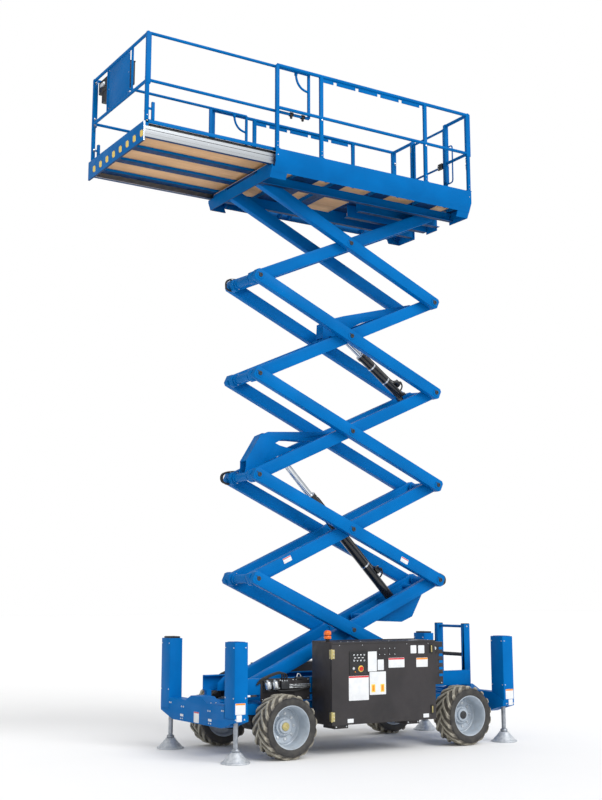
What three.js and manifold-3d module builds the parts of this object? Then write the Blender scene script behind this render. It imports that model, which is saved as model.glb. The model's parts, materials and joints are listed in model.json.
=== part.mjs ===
// Rough-terrain scissor lift: five scissor levels, an extending deck and four outriggers.
// Millimetres, +Z up, +X towards the steered axle, +Y the machine's left.
import * as THREE from 'three';
import { mergeVertices } from 'three/addons/utils/BufferGeometryUtils.js';
import Module from 'manifold-3d';

const wasm = await Module();
wasm.setup();

// ---- driving dimensions ------------------------------------------------------------
const wheelBase = 2390;
const wheelRadius = 330;
const tyreWidth = 305;
const machineWidth = 1750;
const beadRadius = 221;

const levels = 5;
const armLength = 2753;
const armDepth = 141;
const armThickness = 85;
const armGap = 5;
const packHalf = 355;
const restAngle = THREE.MathUtils.degToRad(24.373);
const pivotX = 1304;
const pivotZ = 726.5;
const pinRadius = 26;
const boreRadius = 28;
const endTubeRadius = 50;
const armEnd = 64;

const footX = 1795;
const footY = 746;
const postHalfX = 77;
const postHalfY = 107;
const postTop = 1206;
const postWall = 10;
const footRadius = 150;
const footRodRadius = 25;

const boxHalfLength = 700;
const boxInner = 480;
const boxOuter = 870;
const boxBottom = 320;
const boxTop = 1185;
const engineBoxTop = 900;
const doorThickness = 22;

const deckRear = -1468;
const deckFront = 1368;
const deckHalf = 790;
const floorBottom = 6493;
const skirtFold = 6482;
const skirtBottom = 6375;
const endBottom = 6308;
const beamTop = 6455;
const toeTop = 6635;
const railTop = 7659;
const midRail = 7130;
const railRadius = 22;
const midRadius = 20;
const innerRailRadius = 18;
const gateHalf = 325;

const extensionFront = 2957;
const extensionRear = 870;
const extensionHalf = 754;
const extensionBottom = 6455;
const extensionTop = 6575;

// ---- derived -----------------------------------------------------------------------
const levelHeight = armLength * Math.sin(restAngle);
const innerOuterFace = packHalf - armThickness - armGap;
const innerInnerFace = innerOuterFace - armThickness;
const topPivotZ = pivotZ + levels * levelHeight;
const rearPivotX = pivotX - armLength * Math.cos(restAngle);
const frontReach = extensionFront + 20;
const rearReach = footX + footRadius;
const axleX = wheelBase / 2;
const tyreInner = machineWidth / 2 - tyreWidth;

// ---- materials ---------------------------------------------------------------------
function material(color, roughness, metalness) {
  return new THREE.MeshStandardMaterial({ color, roughness, metalness });
}

const blue = material(0x0068bd, 0.4, 0);
const charcoal = material(0x2c2b2e, 0.5, 0);
const treadRubber = material(0x6f6d66, 0.9, 0);
const rimGrey = material(0x9aa5b0, 0.45, 0.3);
const zinc = material(0xb9bdc0, 0.3, 0.9);
const chrome = material(0xd9dde2, 0.12, 1);
const black = material(0x1b1a1c, 0.45, 0.2);
const plywood = material(0xc39a72, 0.8, 0);
const amber = material(0xf05a10, 0.3, 0);
const darkIron = material(0x3a3a3c, 0.6, 0.5);

// ---- geometry helpers --------------------------------------------------------------
const machine = new THREE.Group();
const frameRoot = new THREE.Group();
frameRoot.position.x = -(frontReach - rearReach) / 2;
machine.add(frameRoot);

function solid(geometry) {
  const bare = geometry.clone();
  bare.deleteAttribute('normal');
  bare.deleteAttribute('uv');
  const merged = mergeVertices(bare, 1e-4);
  return new wasm.Manifold(new wasm.Mesh({
    numProp: 3,
    vertProperties: new Float32Array(merged.attributes.position.array),
    triVerts: new Uint32Array(merged.index.array),
  }));
}

function union(parts) {
  return parts.reduce((sum, part) => sum.add(part));
}

function place(name, shape, surface, parent = frameRoot) {
  const mesh = shape.getMesh();
  const geometry = new THREE.BufferGeometry();
  geometry.setAttribute('position', new THREE.BufferAttribute(new Float32Array(mesh.vertProperties), 3));
  geometry.setIndex(new THREE.BufferAttribute(new Uint32Array(mesh.triVerts), 1));
  geometry.computeVertexNormals();
  const piece = new THREE.Mesh(geometry, surface);
  piece.name = name;
  parent.add(piece);
  return piece;
}

function box(x0, x1, y0, y1, z0, z1) {
  const geometry = new THREE.BoxGeometry(x1 - x0, y1 - y0, z1 - z0);
  geometry.translate((x0 + x1) / 2, (y0 + y1) / 2, (z0 + z1) / 2);
  return solid(geometry);
}

function rod(from, to, radius, sides = 12) {
  const start = new THREE.Vector3(...from);
  const end = new THREE.Vector3(...to);
  const geometry = new THREE.CylinderGeometry(radius, radius, start.distanceTo(end), sides);
  const turn = new THREE.Quaternion().setFromUnitVectors(
    new THREE.Vector3(0, 1, 0), end.clone().sub(start).normalize());
  geometry.applyQuaternion(turn);
  const middle = start.add(end).multiplyScalar(0.5);
  geometry.translate(middle.x, middle.y, middle.z);
  return solid(geometry);
}

// A round bar along Y, and a tube rail that follows a list of corners.
function crossBar(x, z, radius, y0, y1, sides = 10) {
  return rod([x, y0, z], [x, y1, z], radius, sides);
}

function railRun(points, radius = railRadius) {
  const corners = points.map((point) => new THREE.Vector3(...point));
  const runs = [];
  for (let i = 1; i < corners.length; i += 1) {
    const along = corners[i].clone().sub(corners[i - 1]).normalize().multiplyScalar(radius * 0.9);
    const start = i > 1 ? corners[i - 1].clone().sub(along) : corners[0];
    const end = i < corners.length - 1 ? corners[i].clone().add(along) : corners[i];
    runs.push(rod(start.toArray(), end.toArray(), radius, 8));
  }
  return union(runs);
}

function outline(points) {
  return new THREE.Shape(points.map(([a, b]) => new THREE.Vector2(a, b)));
}

// A plate whose outline is (x, z), standing between y0 and y1.
function plateAlongY(points, y0, y1) {
  const geometry = new THREE.ExtrudeGeometry(outline(points), { depth: y1 - y0, bevelEnabled: false });
  geometry.rotateX(Math.PI / 2);
  geometry.translate(0, y1, 0);
  return solid(geometry);
}

// A section whose outline is (y, z), running from x0 to x1.
function sectionAlongX(points, x0, x1) {
  const geometry = new THREE.ExtrudeGeometry(outline(points), { depth: x1 - x0, bevelEnabled: false });
  const basis = new THREE.Matrix4().makeBasis(
    new THREE.Vector3(0, 1, 0), new THREE.Vector3(0, 0, 1), new THREE.Vector3(1, 0, 0));
  geometry.applyMatrix4(basis);
  geometry.translate(x0, 0, 0);
  return solid(geometry);
}

// Lathes a (radius, height) profile; the profile is put in the order that faces outwards.
function turned(profile, segments) {
  let area = 0;
  for (let i = 0; i < profile.length; i += 1) {
    const [r0, h0] = profile[i];
    const [r1, h1] = profile[(i + 1) % profile.length];
    area += r0 * h1 - r1 * h0;
  }
  const ordered = area < 0 ? [...profile].reverse() : profile;
  return new THREE.LatheGeometry(ordered.map(([r, h]) => new THREE.Vector2(r, h)), segments);
}

// A turned body about a line along Y: profile points are (radius, y).
function turnedAboutY(profile, x, z, segments) {
  const geometry = turned(profile, segments);
  geometry.translate(x, 0, z);
  return solid(geometry);
}

// A turned body about a line along Z: profile points are (radius, z).
function turnedAboutZ(profile, x, y, segments) {
  const geometry = turned(profile, segments);
  geometry.rotateX(Math.PI / 2);
  geometry.translate(x, y, 0);
  return solid(geometry);
}

function mirrored(points) {
  return points.map(([a, b]) => [-a, b]).reverse();
}

const bothSides = [['left', 1], ['right', -1]];

function span(side, a, b) {
  return side > 0 ? [a, b] : [-b, -a];
}

// ---- chassis -----------------------------------------------------------------------
const railWeb = [430, 442];
const railLip = 366;
const railBottom = 640;
const railTopZ = 806;
const chassisHalf = 1560;

function buildChassisFrame() {
  const parts = [];
  for (const [, side] of bothSides) {
    const channel = [
      [railLip, railBottom], [railWeb[1], railBottom], [railWeb[1], railTopZ], [railLip, railTopZ],
      [railLip, railTopZ - 12], [railWeb[0], railTopZ - 12], [railWeb[0], railBottom + 12],
      [railLip, railBottom + 12],
    ];
    parts.push(sectionAlongX(side > 0 ? channel : mirrored(channel), -chassisHalf, chassisHalf));
    parts.push(box(-chassisHalf, chassisHalf, ...span(side, 300, 385), 430, 545));
    for (const x of [-1530, -860, 860, 1530]) {
      parts.push(box(x - 30, x + 30, ...span(side, 340, 400), 540, 648));
    }
    // bracket of the fixed lower pivot
    const bracket = [[1180, 640], [1460, 640], [1460, 720], [1380, 790], [1240, 790], [1180, 720]];
    parts.push(plateAlongY(bracket, ...span(side, innerOuterFace + 8, innerOuterFace + 28)));
    parts.push(box(1190, 1450, ...span(side, innerOuterFace + 10, railLip + 20), 641, 651));
    parts.push(crossBar(pivotX, pivotZ, pinRadius, ...span(side, innerInnerFace + 6, innerOuterFace + 20)));
    // carriers of the side boxes
    for (const x of [-560, 560]) {
      parts.push(box(x - 40, x + 40, ...span(side, 380, boxInner - 0.4), 450, 530));
      parts.push(box(x - 40, x + 40, ...span(side, 436, boxInner - 0.4), 660, 700));
    }
  }
  for (const [x, half] of [[-1500, 60], [-1195, 70], [0, 60], [1195, 70], [1500, 60]]) {
    parts.push(box(x - half, x + half, -385, 385, 430, 545));
  }
  return union(parts);
}

function buildOutriggerFrame(end) {
  const faceX = [footX - 90, footX + 75].map((x) => x * end).sort((a, b) => a - b);
  const front = [
    [-850, 470], [-850, 415], [-560, 335], [560, 335], [850, 415], [850, 470],
    [640, 560], [250, 560], [120, 618], [-120, 618], [-250, 560], [-640, 560],
  ];
  const parts = [sectionAlongX(front, ...faceX)];
  const neckX = [(chassisHalf + 0.4) * end, (footX - 60) * end].sort((a, b) => a - b);
  for (const [, side] of bothSides) {
    parts.push(box(...neckX, ...span(side, 250, 385), 432, 543));
    const y = footY * side;
    const x = footX * end;
    parts.push(box(x - postHalfX, x + postHalfX, y - postHalfY, y + postHalfY, 440, postTop));
  }
  let frame = union(parts);
  for (const [, side] of bothSides) {
    const y = footY * side;
    const x = footX * end;
    frame = frame.subtract(box(x - postHalfX + postWall, x + postHalfX - postWall,
      y - postHalfY + postWall, y + postHalfY - postWall, 600, postTop - postWall));
    frame = frame.subtract(rod([x, y, 300], [x, y, 640], footRodRadius + 6, 12));
    frame = frame.subtract(rod([x, y, 300], [x, y, 418], 62, 12));
  }
  return frame;
}

function buildFoot(x, y) {
  const profile = [
    [0, 0], [footRadius, 0], [footRadius, 18], [118, 40], [58, 108], [44, 116], [44, 146],
    [footRodRadius, 152], [footRodRadius, 920], [0, 920],
  ];
  return turnedAboutZ(profile, x, y, 16);
}

// the left box holds the hydraulics and the right one, lower, the engine
function sideBoxTop(side) {
  return side > 0 ? boxTop : engineBoxTop;
}

function buildSideBox(side) {
  const top = sideBoxTop(side);
  const shell = box(-boxHalfLength, boxHalfLength, ...span(side, boxInner, boxOuter - doorThickness - 2),
    boxBottom, top);
  const wall = 14;
  const room = box(-boxHalfLength + wall, boxHalfLength - wall,
    ...span(side, boxInner + wall, boxOuter), boxBottom + wall, top - wall);
  const feet = [];
  for (const x of [-440, 520]) {
    feet.push(box(x - 90, x + 90, ...span(side, 560, 780), boxBottom - 45, boxBottom + 5));
  }
  // cooler housing behind the box, above the rear tyre
  const housing = box(-865, -boxHalfLength + 5, ...span(side, 560, 800), 690, top - 25);
  return union([shell.subtract(room), ...feet, housing]);
}

function buildBoxDoor(side) {
  return box(-boxHalfLength, boxHalfLength, ...span(side, boxOuter - doorThickness, boxOuter),
    boxBottom + 2, sideBoxTop(side) - 2);
}

function buildAxle(end) {
  const x = axleX * end;
  const steered = end > 0;
  const reach = steered ? 435 : tyreInner - 12;
  const parts = [
    rod([x, -reach, wheelRadius], [x, reach, wheelRadius], 52, 14),
    turnedAboutY([[0, -110], [60, -110], [94, -60], [94, 60], [60, 110], [0, 110]], x, wheelRadius, 16),
  ];
  for (const [, side] of bothSides) {
    parts.push(box(x - 45, x + 45, ...span(side, 220, 300), wheelRadius, 429.6));
    if (steered) {
      parts.push(box(x - 44, x + 44, ...span(side, 425, 465), 205, 455));
      for (const z of [205, 431]) {
        parts.push(box(x - 40, x + 40, ...span(side, 425, 550), z, z + 24));
      }
    } else {
      parts.push(rod([x, reach * side, wheelRadius], [x, 650 * side, wheelRadius], 88, 14));
    }
  }
  return union(parts);
}

function buildKnuckle(side) {
  const y = 515 * side;
  return union([
    rod([axleX, y, 234], [axleX, y, 426], 42, 14),
    rod([axleX, y, wheelRadius], [axleX, 640 * side, wheelRadius], 46, 14),
    rod([axleX, 630 * side, wheelRadius], [axleX, 650 * side, wheelRadius], 88, 14),
    box(axleX - 150, axleX, ...span(side, 505, 535), 300, 345),
  ]);
}

function buildTyre(x, side) {
  const outer = machineWidth / 2;
  const inner = tyreInner;
  const profile = [
    [beadRadius + 4, inner + 12], [beadRadius + 30, inner],
    [wheelRadius - 36, inner], [wheelRadius, inner + 28],
    [wheelRadius, outer - 28], [wheelRadius - 36, outer], [beadRadius + 30, outer],
    [beadRadius + 4, outer - 12],
  ].map(([r, y]) => [r, y * side]);
  profile.push(profile[0]);
  return turnedAboutY(profile, x, wheelRadius, 24);
}

function buildRim(x, side) {
  const outer = machineWidth / 2 - 14;
  const inner = tyreInner + 14;
  const disc = 657;
  const profile = [
    [0, disc], [188, disc], [204, disc - 20], [204, inner], [beadRadius, inner], [beadRadius, outer],
    [205, outer], [196, disc + 60], [150, disc + 22], [80, disc + 22], [74, disc + 62], [0, disc + 62],
  ].map(([r, y]) => [r, y * side]);
  return turnedAboutY(profile, x, wheelRadius, 18);
}

function buildLadder() {
  const x = -1655;
  const parts = [];
  for (const [, side] of bothSides) {
    parts.push(box(x - 45, x + 45, ...span(side, 225, 285), 600, 1340));
    parts.push(box(x - 10, -1560.4, ...span(side, 230, 280), 650, 730));
  }
  for (const z of [640, 975, 1310]) {
    parts.push(crossBar(x, z, 17, -230, 230, 8));
  }
  return union(parts);
}

function buildBeacon() {
  const profile = [
    [0, 0], [22, 0], [22, 26], [40, 30], [40, 62],
    [34, 66], [40, 70], [40, 106], [20, 122], [0, 124],
  ]
    .map(([r, z]) => [r, z + boxTop + 0.4]);
  return turnedAboutZ(profile, 640, 700, 14);
}

function buildEngine() {
  return box(-420, 380, -790, -530, 420, 830);
}

// ---- scissor pack ------------------------------------------------------------------
// An arm is drawn with its front pin at the origin and its rear pin at -armLength along X.
function armBlank(y0, y1) {
  const half = armDepth / 2;
  const cut = 26;
  const front = armEnd;
  const rear = -armLength - armEnd;
  const points = [
    [front, -half + cut], [front, half - cut], [front - cut, half], [rear + cut, half],
    [rear, half - cut], [rear, -half + cut], [rear + cut, -half], [front - cut, -half],
  ];
  return plateAlongY(points, y0, y1);
}

function armBores(arm, y0, y1, stations) {
  return stations.reduce((cut, x) => cut.subtract(crossBar(x, 0, boreRadius, y0 - 5, y1 + 5)), arm);
}

const armStations = [0, -armLength / 2, -armLength];
const slideRadius = 55;

// Two plates either side of a lift cylinder, drawn like an arm.
function twinPlates(points, y0, y1) {
  return bothSides.map(([, side]) => plateAlongY(points, ...span(side, y0, y1)));
}

const leverInside = 62;
const leverOutside = 74;

// Short cross tubes from the plates out to the arms, leaving the middle free for the cylinder.
function sideStubs(x, z, radius) {
  return bothSides.map(([, side]) =>
    crossBar(x, z, radius, ...span(side, leverInside + 2, innerInnerFace + 5), 8));
}

function lowerLever() {
  const plate = [
    [0, -40], [40, 0], [-40, 110], [-66, 169], [-360, 365], [-466, 364], [-806, 237], [-1254, 70],
    [-1640, 45], [-1640, -45], [-1200, -45], [-1000, 40], [-730, 166], [-600, 218], [-506, 211], [-546, 168],
    [-700, 60], [-280, 60], [-120, -40],
  ];
  const cover = [[-66, 169], [-360, 365], [-352, 346], [-74, 158]];
  return [
    ...twinPlates(plate, leverInside, leverOutside),
    plateAlongY(cover.reverse(), -leverInside - 4, leverInside + 4),
    crossBar(-1600, 0, 40, -innerInnerFace - 5, innerInnerFace + 5, 8),
  ];
}

function lowerGusset() {
  const plate = [
    [-1700, -40], [-2170, -276], [-2338, -284], [-2583, -108], [-2600, -40], [-2600, 40], [-1700, 40],
  ];
  return [
    ...twinPlates(plate.reverse(), 126, 138),
    crossBar(-2560, 0, 30, -innerInnerFace - 5, innerInnerFace + 5, 8),
    crossBar(-1740, 0, 30, -innerInnerFace - 5, innerInnerFace + 5, 8),
  ];
}

function upperLever() {
  const plate = [
    [-1171, 40], [-1171, 99], [-1252, 257], [-1442, 262],
    [-1566, 248], [-2600, 75], [-2600, -30], [-2240, -30],
    [-2086, 70], [-1770, 90], [-1500, 70], [-1300, 40],
  ];
  const cover = [[-1171, 99], [-1252, 257], [-1264, 250], [-1183, 94]];
  return [
    ...twinPlates(plate, leverInside, leverOutside),
    plateAlongY(cover.reverse(), -leverInside - 4, leverInside + 4),
    crossBar(-1198, 66, 24, -innerInnerFace - 5, innerInnerFace + 5, 8),
    ...sideStubs(-2300, 0, 34),
  ];
}

function upperLugs() {
  const plate = [[-2753, -40], [-2460, 0], [-2460, 95], [-2560, 100], [-2753, 45]];
  return twinPlates(plate, leverInside, leverOutside);
}

function buildInnerFrame(level) {
  const parts = [];
  for (const [, side] of bothSides) {
    const [y0, y1] = span(side, innerInnerFace, innerOuterFace);
    parts.push(armBores(armBlank(y0, y1), y0, y1, armStations));
  }
  parts.push(crossBar(0, 0, endTubeRadius, -innerInnerFace - 2, innerInnerFace + 2, 12));
  if (level < levels) {
    parts.push(crossBar(-armLength, 0, endTubeRadius, -innerInnerFace - 2, innerInnerFace + 2, 12));
  }
  if (level === 1) parts.push(...lowerGusset());
  if (level === 3) parts.push(...lowerLever(), ...upperLugs());
  if (level === 4) parts.push(...upperLever());
  if (level === levels) {
    // the top end carries slide rollers that run in the platform's channels
    parts.push(crossBar(-1080, 0, 30, -innerInnerFace - 5, innerInnerFace + 5, 8));
    for (const [, side] of bothSides) {
      parts.push(crossBar(-armLength, 0, slideRadius, ...span(side, 116, 164), 16));
      parts.push(crossBar(-armLength, 0, 34, ...span(side, 160, innerInnerFace + 2)));
    }
  }
  return union(parts);
}

function buildOuterArm(level, side) {
  const [y0, y1] = span(side, packHalf - armThickness, packHalf);
  const parts = [armBlank(y0, y1)];
  const pinIn = span(side, innerInnerFace + 6, packHalf - 10);
  const pinOut = span(side, packHalf - 10, packHalf + 27);
  parts.push(crossBar(-armLength / 2, 0, pinRadius, ...pinIn));
  if (level < levels) {
    parts.push(crossBar(0, 0, pinRadius, ...pinIn));
  } else {
    parts.push(crossBar(0, 0, pinRadius, ...pinOut));
  }
  if (level > 1) {
    parts.push(crossBar(-armLength, 0, pinRadius, ...pinIn));
  } else {
    parts.push(crossBar(-armLength, 0, pinRadius, ...pinOut));
    parts.push(crossBar(-armLength, 0, 60, ...span(side, packHalf + 14, packHalf + 68), 16));
  }
  return union(parts);
}

function innerPivot(level) {
  return [pivotX, 0, pivotZ + (level - 1) * levelHeight];
}

function outerPivot(level) {
  return [pivotX, 0, pivotZ + level * levelHeight];
}

// ---- lift cylinders ----------------------------------------------------------------
// Drawn along -X from the base pin, then turned to point at the rod's eye.
function buildBarrel(length, radius, bore, eyeWidth) {
  const profile = [
    [0, 60], [radius, 60], [radius, length - 30], [radius + 6, length - 30], [radius + 6, length],
    [bore, length], [bore, 90], [0, 90],
  ];
  const geometry = turned(profile, 16);
  geometry.rotateZ(-Math.PI / 2);
  return union([solid(geometry), box(0, 64, -eyeWidth / 2, eyeWidth / 2, -46, 46),
    crossBar(0, 0, 46, -eyeWidth / 2, eyeWidth / 2, 14)]);
}

function buildLiftRod(length, radius, eyeRadius) {
  return union([
    rod([-length, 0, 0], [-eyeRadius * 0.6, 0, 0], radius, 14),
    crossBar(0, 0, eyeRadius, -46, 46, 16),
  ]);
}

const cylinders = {
  lower: {
    base: [1, -2305.7, -203.1], eye: [3, -442.4, 300.5], barrel: 1854, radius: 54, bore: 41,
    rodLength: 2000, rodRadius: 37, eyeWidth: 236,
  },
  upper: {
    base: [3, -2510.5, 55.2], eye: [4, -1382.3, 206.2], barrel: 804, radius: 52, bore: 37,
    rodLength: 1000, rodRadius: 33, eyeWidth: 112,
  },
};

function pointOnInner([level, along, above]) {
  const [x, , z] = innerPivot(level);
  const c = Math.cos(restAngle);
  const s = Math.sin(restAngle);
  return new THREE.Vector3(x + along * c + above * s, 0, z - along * s + above * c);
}

function placeCylinder(name, spec) {
  const base = pointOnInner(spec.base);
  const eye = pointOnInner(spec.eye);
  const pitch = -Math.atan2(eye.z - base.z, eye.x - base.x);
  const barrel = place(`${name}_cylinder_barrel`,
    buildBarrel(spec.barrel, spec.radius, spec.bore, spec.eyeWidth), black);
  barrel.position.copy(base);
  barrel.rotation.y = pitch;
  const piston = place(`${name}_cylinder_rod`, buildLiftRod(spec.rodLength, spec.rodRadius, 50), chrome);
  piston.position.copy(eye);
  piston.rotation.y = pitch;
}

// ---- platform ----------------------------------------------------------------------
const pocketInner = 692;
const beamBottom = 6345;
const frontPlate = deckFront + 32;
const crossBands = [
  [deckRear + 5, -1400], [-1110, -860], [-390, -190],
  [260, 405], [640, 930], [1180, deckFront - 5],
];

function buildPlatformFrame() {
  const parts = [];
  for (const [, side] of bothSides) {
    const turn = (points) => (side > 0 ? points : mirrored(points));
    const skirt = [
      [deckHalf - 5, toeTop], [deckHalf - 5, skirtFold + 4], [736, skirtBottom + 4], [746, skirtBottom],
      [deckHalf + 5, skirtFold], [deckHalf + 5, toeTop],
    ];
    parts.push(sectionAlongX(turn(skirt), deckRear, deckFront));
    // deeper folds at the two ends
    const corner = [
      [760, 6426], [700, endBottom + 4], [709, endBottom], [770, 6426],
    ];
    parts.push(sectionAlongX(turn(corner), deckRear, deckRear + 180));
    parts.push(sectionAlongX(turn(corner), frontPlate - 210, frontPlate));
    // channel that the top slide rollers run in
    const channel = [
      [98, 6338], [170, 6338], [170, 6346], [106, 6346], [106, 6468], [170, 6468], [170, 6476],
      [106, 6476], [106, floorBottom + 2], [98, floorBottom + 2],
    ];
    parts.push(sectionAlongX(turn(channel), deckRear + 10, -210));
    // gussets that carry the skirt, low enough for the extension to pass above
    const rib = [
      [600, beamTop + 4], [pocketInner, beamTop + 4], [pocketInner, 6446], [768, 6446],
      [741, 6385], [700, 6385],
    ];
    for (const x of crossBands.flat()) {
      parts.push(sectionAlongX(turn(rib), x - 5, x + 5));
    }
    const web = span(side, packHalf + 30, packHalf + 38);
    const flange = span(side, packHalf + 30, packHalf + 90);
    parts.push(box(deckRear, frontPlate, ...web, beamBottom, beamTop + 2));
    parts.push(box(deckRear, frontPlate, ...flange, beamBottom - 8, beamBottom));
    // bracket of the fixed upper pivot
    const bracket = [[1220, 6494], [1220, 6370], [1270, 6330], [1345, 6330], [1366, 6370], [1366, 6494]];
    parts.push(plateAlongY(bracket, ...span(side, packHalf + 7, packHalf + 25))
      .subtract(crossBar(pivotX, topPivotZ, boreRadius, ...span(side, packHalf, packHalf + 40))));
  }
  // box cross members laid on the long beams, thin in the middle where the arms swing up to them
  for (const [x0, x1] of crossBands) {
    const clearOfArms = x0 > 0 && x1 < 1000;
    const middle = clearOfArms ? beamTop : floorBottom;
    parts.push(box(x0 - 5, x1 + 5, -pocketInner, pocketInner, middle, floorBottom + 8));
    for (const [, side] of bothSides) {
      parts.push(box(x0 - 5, x1 + 5, ...span(side, packHalf + 30, pocketInner), beamTop, floorBottom + 8));
    }
  }
  // end plates, the rear one notched for the lowered arms
  const notch = [deckRear - 5, deckRear + 30, 108, packHalf + 9];
  let rearPlate = sectionAlongX([
    [-709, endBottom], [709, endBottom], [768, 6446], [pocketInner, 6446], [pocketInner, floorBottom + 2],
    [-pocketInner, floorBottom + 2], [-pocketInner, 6446], [-768, 6446]], deckRear, deckRear + 10);
  const plate = [[-709, endBottom], [709, endBottom], [768, 6446], [-768, 6446]];
  parts.push(sectionAlongX(plate, frontPlate - 10, frontPlate));
  for (const [, side] of bothSides) {
    const gap = span(side, notch[2], notch[3]);
    rearPlate = rearPlate.subtract(box(notch[0], notch[1], ...gap, 6250, floorBottom - 2));
  }
  parts.push(rearPlate);
  return union(parts);
}

function buildMainDeck() {
  return box(deckRear + 14, deckFront, -pocketInner, pocketInner, floorBottom + 8.4, floorBottom + 15);
}

const gatePostRadius = 19;
const postFrontX = deckFront - 24;
const postRearX = deckRear + 24;
const railY = deckHalf - 15;

function buildSideGuardrail(side) {
  const y = railY * side;
  const top = railTop - railRadius;
  const base = toeTop + 0.4;
  const gateY = (gateHalf + 24) * side;
  const parts = [
    railRun([[postFrontX, y, top], [postRearX, y, top], [postRearX, gateY, top]]),
    railRun([[postFrontX, y, midRail], [postRearX, y, midRail], [postRearX, gateY, midRail]], midRadius),
    rod([postRearX, gateY, top + railRadius * 0.9], [postRearX, gateY, base], gatePostRadius, 8),
  ];
  for (const x of [postFrontX, 748, -770, postRearX]) {
    parts.push(box(x - 22, x + 22, y - 16, y + 16, base, top));
  }
  // the folding upper halves of the rear posts are wider sleeves
  parts.push(box(postRearX - 32, postRearX + 32, y - 20, y + 20, midRail - 40, top + 10));
  parts.push(box(postRearX - 30, postRearX + 30, gateY - 18, gateY + 18, midRail - 260, top + 10));
  parts.push(box(postRearX - 6, postRearX + 6, ...span(side, gateHalf + 24, railY), base, base + 30));
  return union(parts);
}

function buildRearToeBoard() {
  const parts = [];
  for (const [, side] of bothSides) {
    const board = span(side, gateHalf + 8, deckHalf - 6);
    parts.push(box(deckRear, deckRear + 12, ...board, floorBottom + 8.4, toeTop));
  }
  parts.push(box(deckRear, deckRear + 12, -deckHalf + 6, deckHalf - 6, floorBottom + 8.4, floorBottom + 24));
  return union(parts);
}

function buildGate() {
  const x = postRearX;
  const reach = gateHalf - 18;
  const low = toeTop - 110;
  const top = railTop - 60;
  return union([
    railRun([[x, -reach, low], [x, -reach, top], [x, reach, top], [x, reach, low]], 16),
    rod([x, -reach, midRail - 20], [x, reach, midRail - 20], 14, 8),
    box(x - 6, x + 6, -reach, reach, low, low + 110),
  ]);
}

// ---- extension deck ----------------------------------------------------------------
const extensionFloor = 6543;
const extensionBeam = 6513;

function buildExtensionFrame() {
  const parts = [];
  for (const [, side] of bothSides) {
    const web = extensionHalf - 8;
    const channel = [
      [extensionHalf, extensionBottom], [extensionHalf, extensionTop], [706, extensionTop],
      [706, extensionTop - 6], [web, extensionTop - 6],
      [web, extensionBottom + 6], [706, extensionBottom + 6],
      [706, extensionBottom],
    ];
    parts.push(sectionAlongX(side > 0 ? channel : mirrored(channel), extensionRear, extensionFront));
  }
  parts.push(box(extensionRear, extensionRear + 20, -750, 750, extensionBeam, extensionFloor + 15));
  parts.push(box(extensionFront - 24, extensionFront, -750, 750, extensionBottom, extensionFloor - 0.4));
  for (const y of [-650, -220, 220, 650]) {
    parts.push(box(extensionRear, extensionFront - 20, y - 55, y + 55, extensionBeam, extensionFloor - 0.4));
  }
  parts.push(box(extensionFront - 2, frontReach, -extensionHalf, extensionHalf, 6408, 6625));
  return union(parts);
}

function buildExtensionDeck() {
  return box(extensionRear + 20.4, extensionFront - 2.4, -745.6, 745.6, extensionFloor, extensionFloor + 15);
}

const extensionRailY = extensionHalf - 24;

function buildExtensionGuardrail() {
  const x0 = extensionRear + 22;
  const x1 = extensionFront - 22;
  const top = railTop - railRadius;
  const parts = [];
  const base = extensionTop + 0.4;
  for (const z of [top, midRail - 30]) {
    parts.push(railRun([
      [x0, extensionRailY, z], [x1, extensionRailY, z], [x1, -extensionRailY, z], [x0, -extensionRailY, z],
    ], innerRailRadius));
  }
  for (const [, side] of bothSides) {
    const y = extensionRailY * side;
    parts.push(box(x1 - 20, x1 + 20, y - 16, y + 16, base, top));
    // the rear end hangs on the rails, which slide along those of the main deck
    parts.push(box(x0 - 14, x0 + 14, y - 14, y + 14, midRail - 30, top));
    // the folding upper half of the front post is a wider sleeve
    parts.push(box(x1 - 34, x1 + 20, y - 18, y + 18, midRail - 70, top + 8));
    const inner = 335 * side;
    parts.push(rod([x1, inner, top], [x1, inner, midRail - 30], 14, 8));
  }
  return union(parts);
}

function buildFrontPanel() {
  return box(extensionFront - 24, extensionFront - 20, -320, 268, midRail - 11, railTop - 43);
}

function buildManualBox() {
  return box(extensionFront - 88, extensionFront - 24.4, 20, 262, 7235, 7500);
}

function buildControlBox() {
  return union([
    box(extensionFront - 190, extensionFront - 56, -700, -400, 7450, 7606),
    box(extensionFront - 150, extensionFront - 70, -640, -450, 7330, 7452),
  ]);
}

// ---- assembly ----------------------------------------------------------------------
place('chassis_frame', buildChassisFrame(), blue);
place('front_outrigger_frame', buildOutriggerFrame(1), blue);
place('rear_outrigger_frame', buildOutriggerFrame(-1), blue);
place('front_axle', buildAxle(1), darkIron);
place('rear_axle', buildAxle(-1), darkIron);
place('engine_block', buildEngine(), darkIron);
place('rear_ladder', buildLadder(), blue);
place('beacon', buildBeacon(), amber);
for (const [sideName, side] of bothSides) {
  place(`${sideName}_side_box`, buildSideBox(side), charcoal);
  place(`${sideName}_box_door`, buildBoxDoor(side), charcoal);
  place(`front_${sideName}_knuckle`, buildKnuckle(side), darkIron);
  for (const [endName, end] of [['front', 1], ['rear', -1]]) {
    place(`${endName}_${sideName}_tyre`, buildTyre(axleX * end, side), treadRubber);
    place(`${endName}_${sideName}_rim`, buildRim(axleX * end, side), rimGrey);
    place(`${endName}_${sideName}_outrigger_foot`, buildFoot(footX * end, footY * side), zinc);
  }
}

for (let level = 1; level <= levels; level += 1) {
  const inner = place(`inner_scissor_frame_${level}`, buildInnerFrame(level), blue);
  inner.position.set(...innerPivot(level));
  inner.rotation.y = restAngle;
  for (const [sideName, side] of bothSides) {
    const outer = place(`${sideName}_outer_arm_${level}`, buildOuterArm(level, side), blue);
    outer.position.set(...outerPivot(level));
    outer.rotation.y = -restAngle;
  }
}

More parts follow.
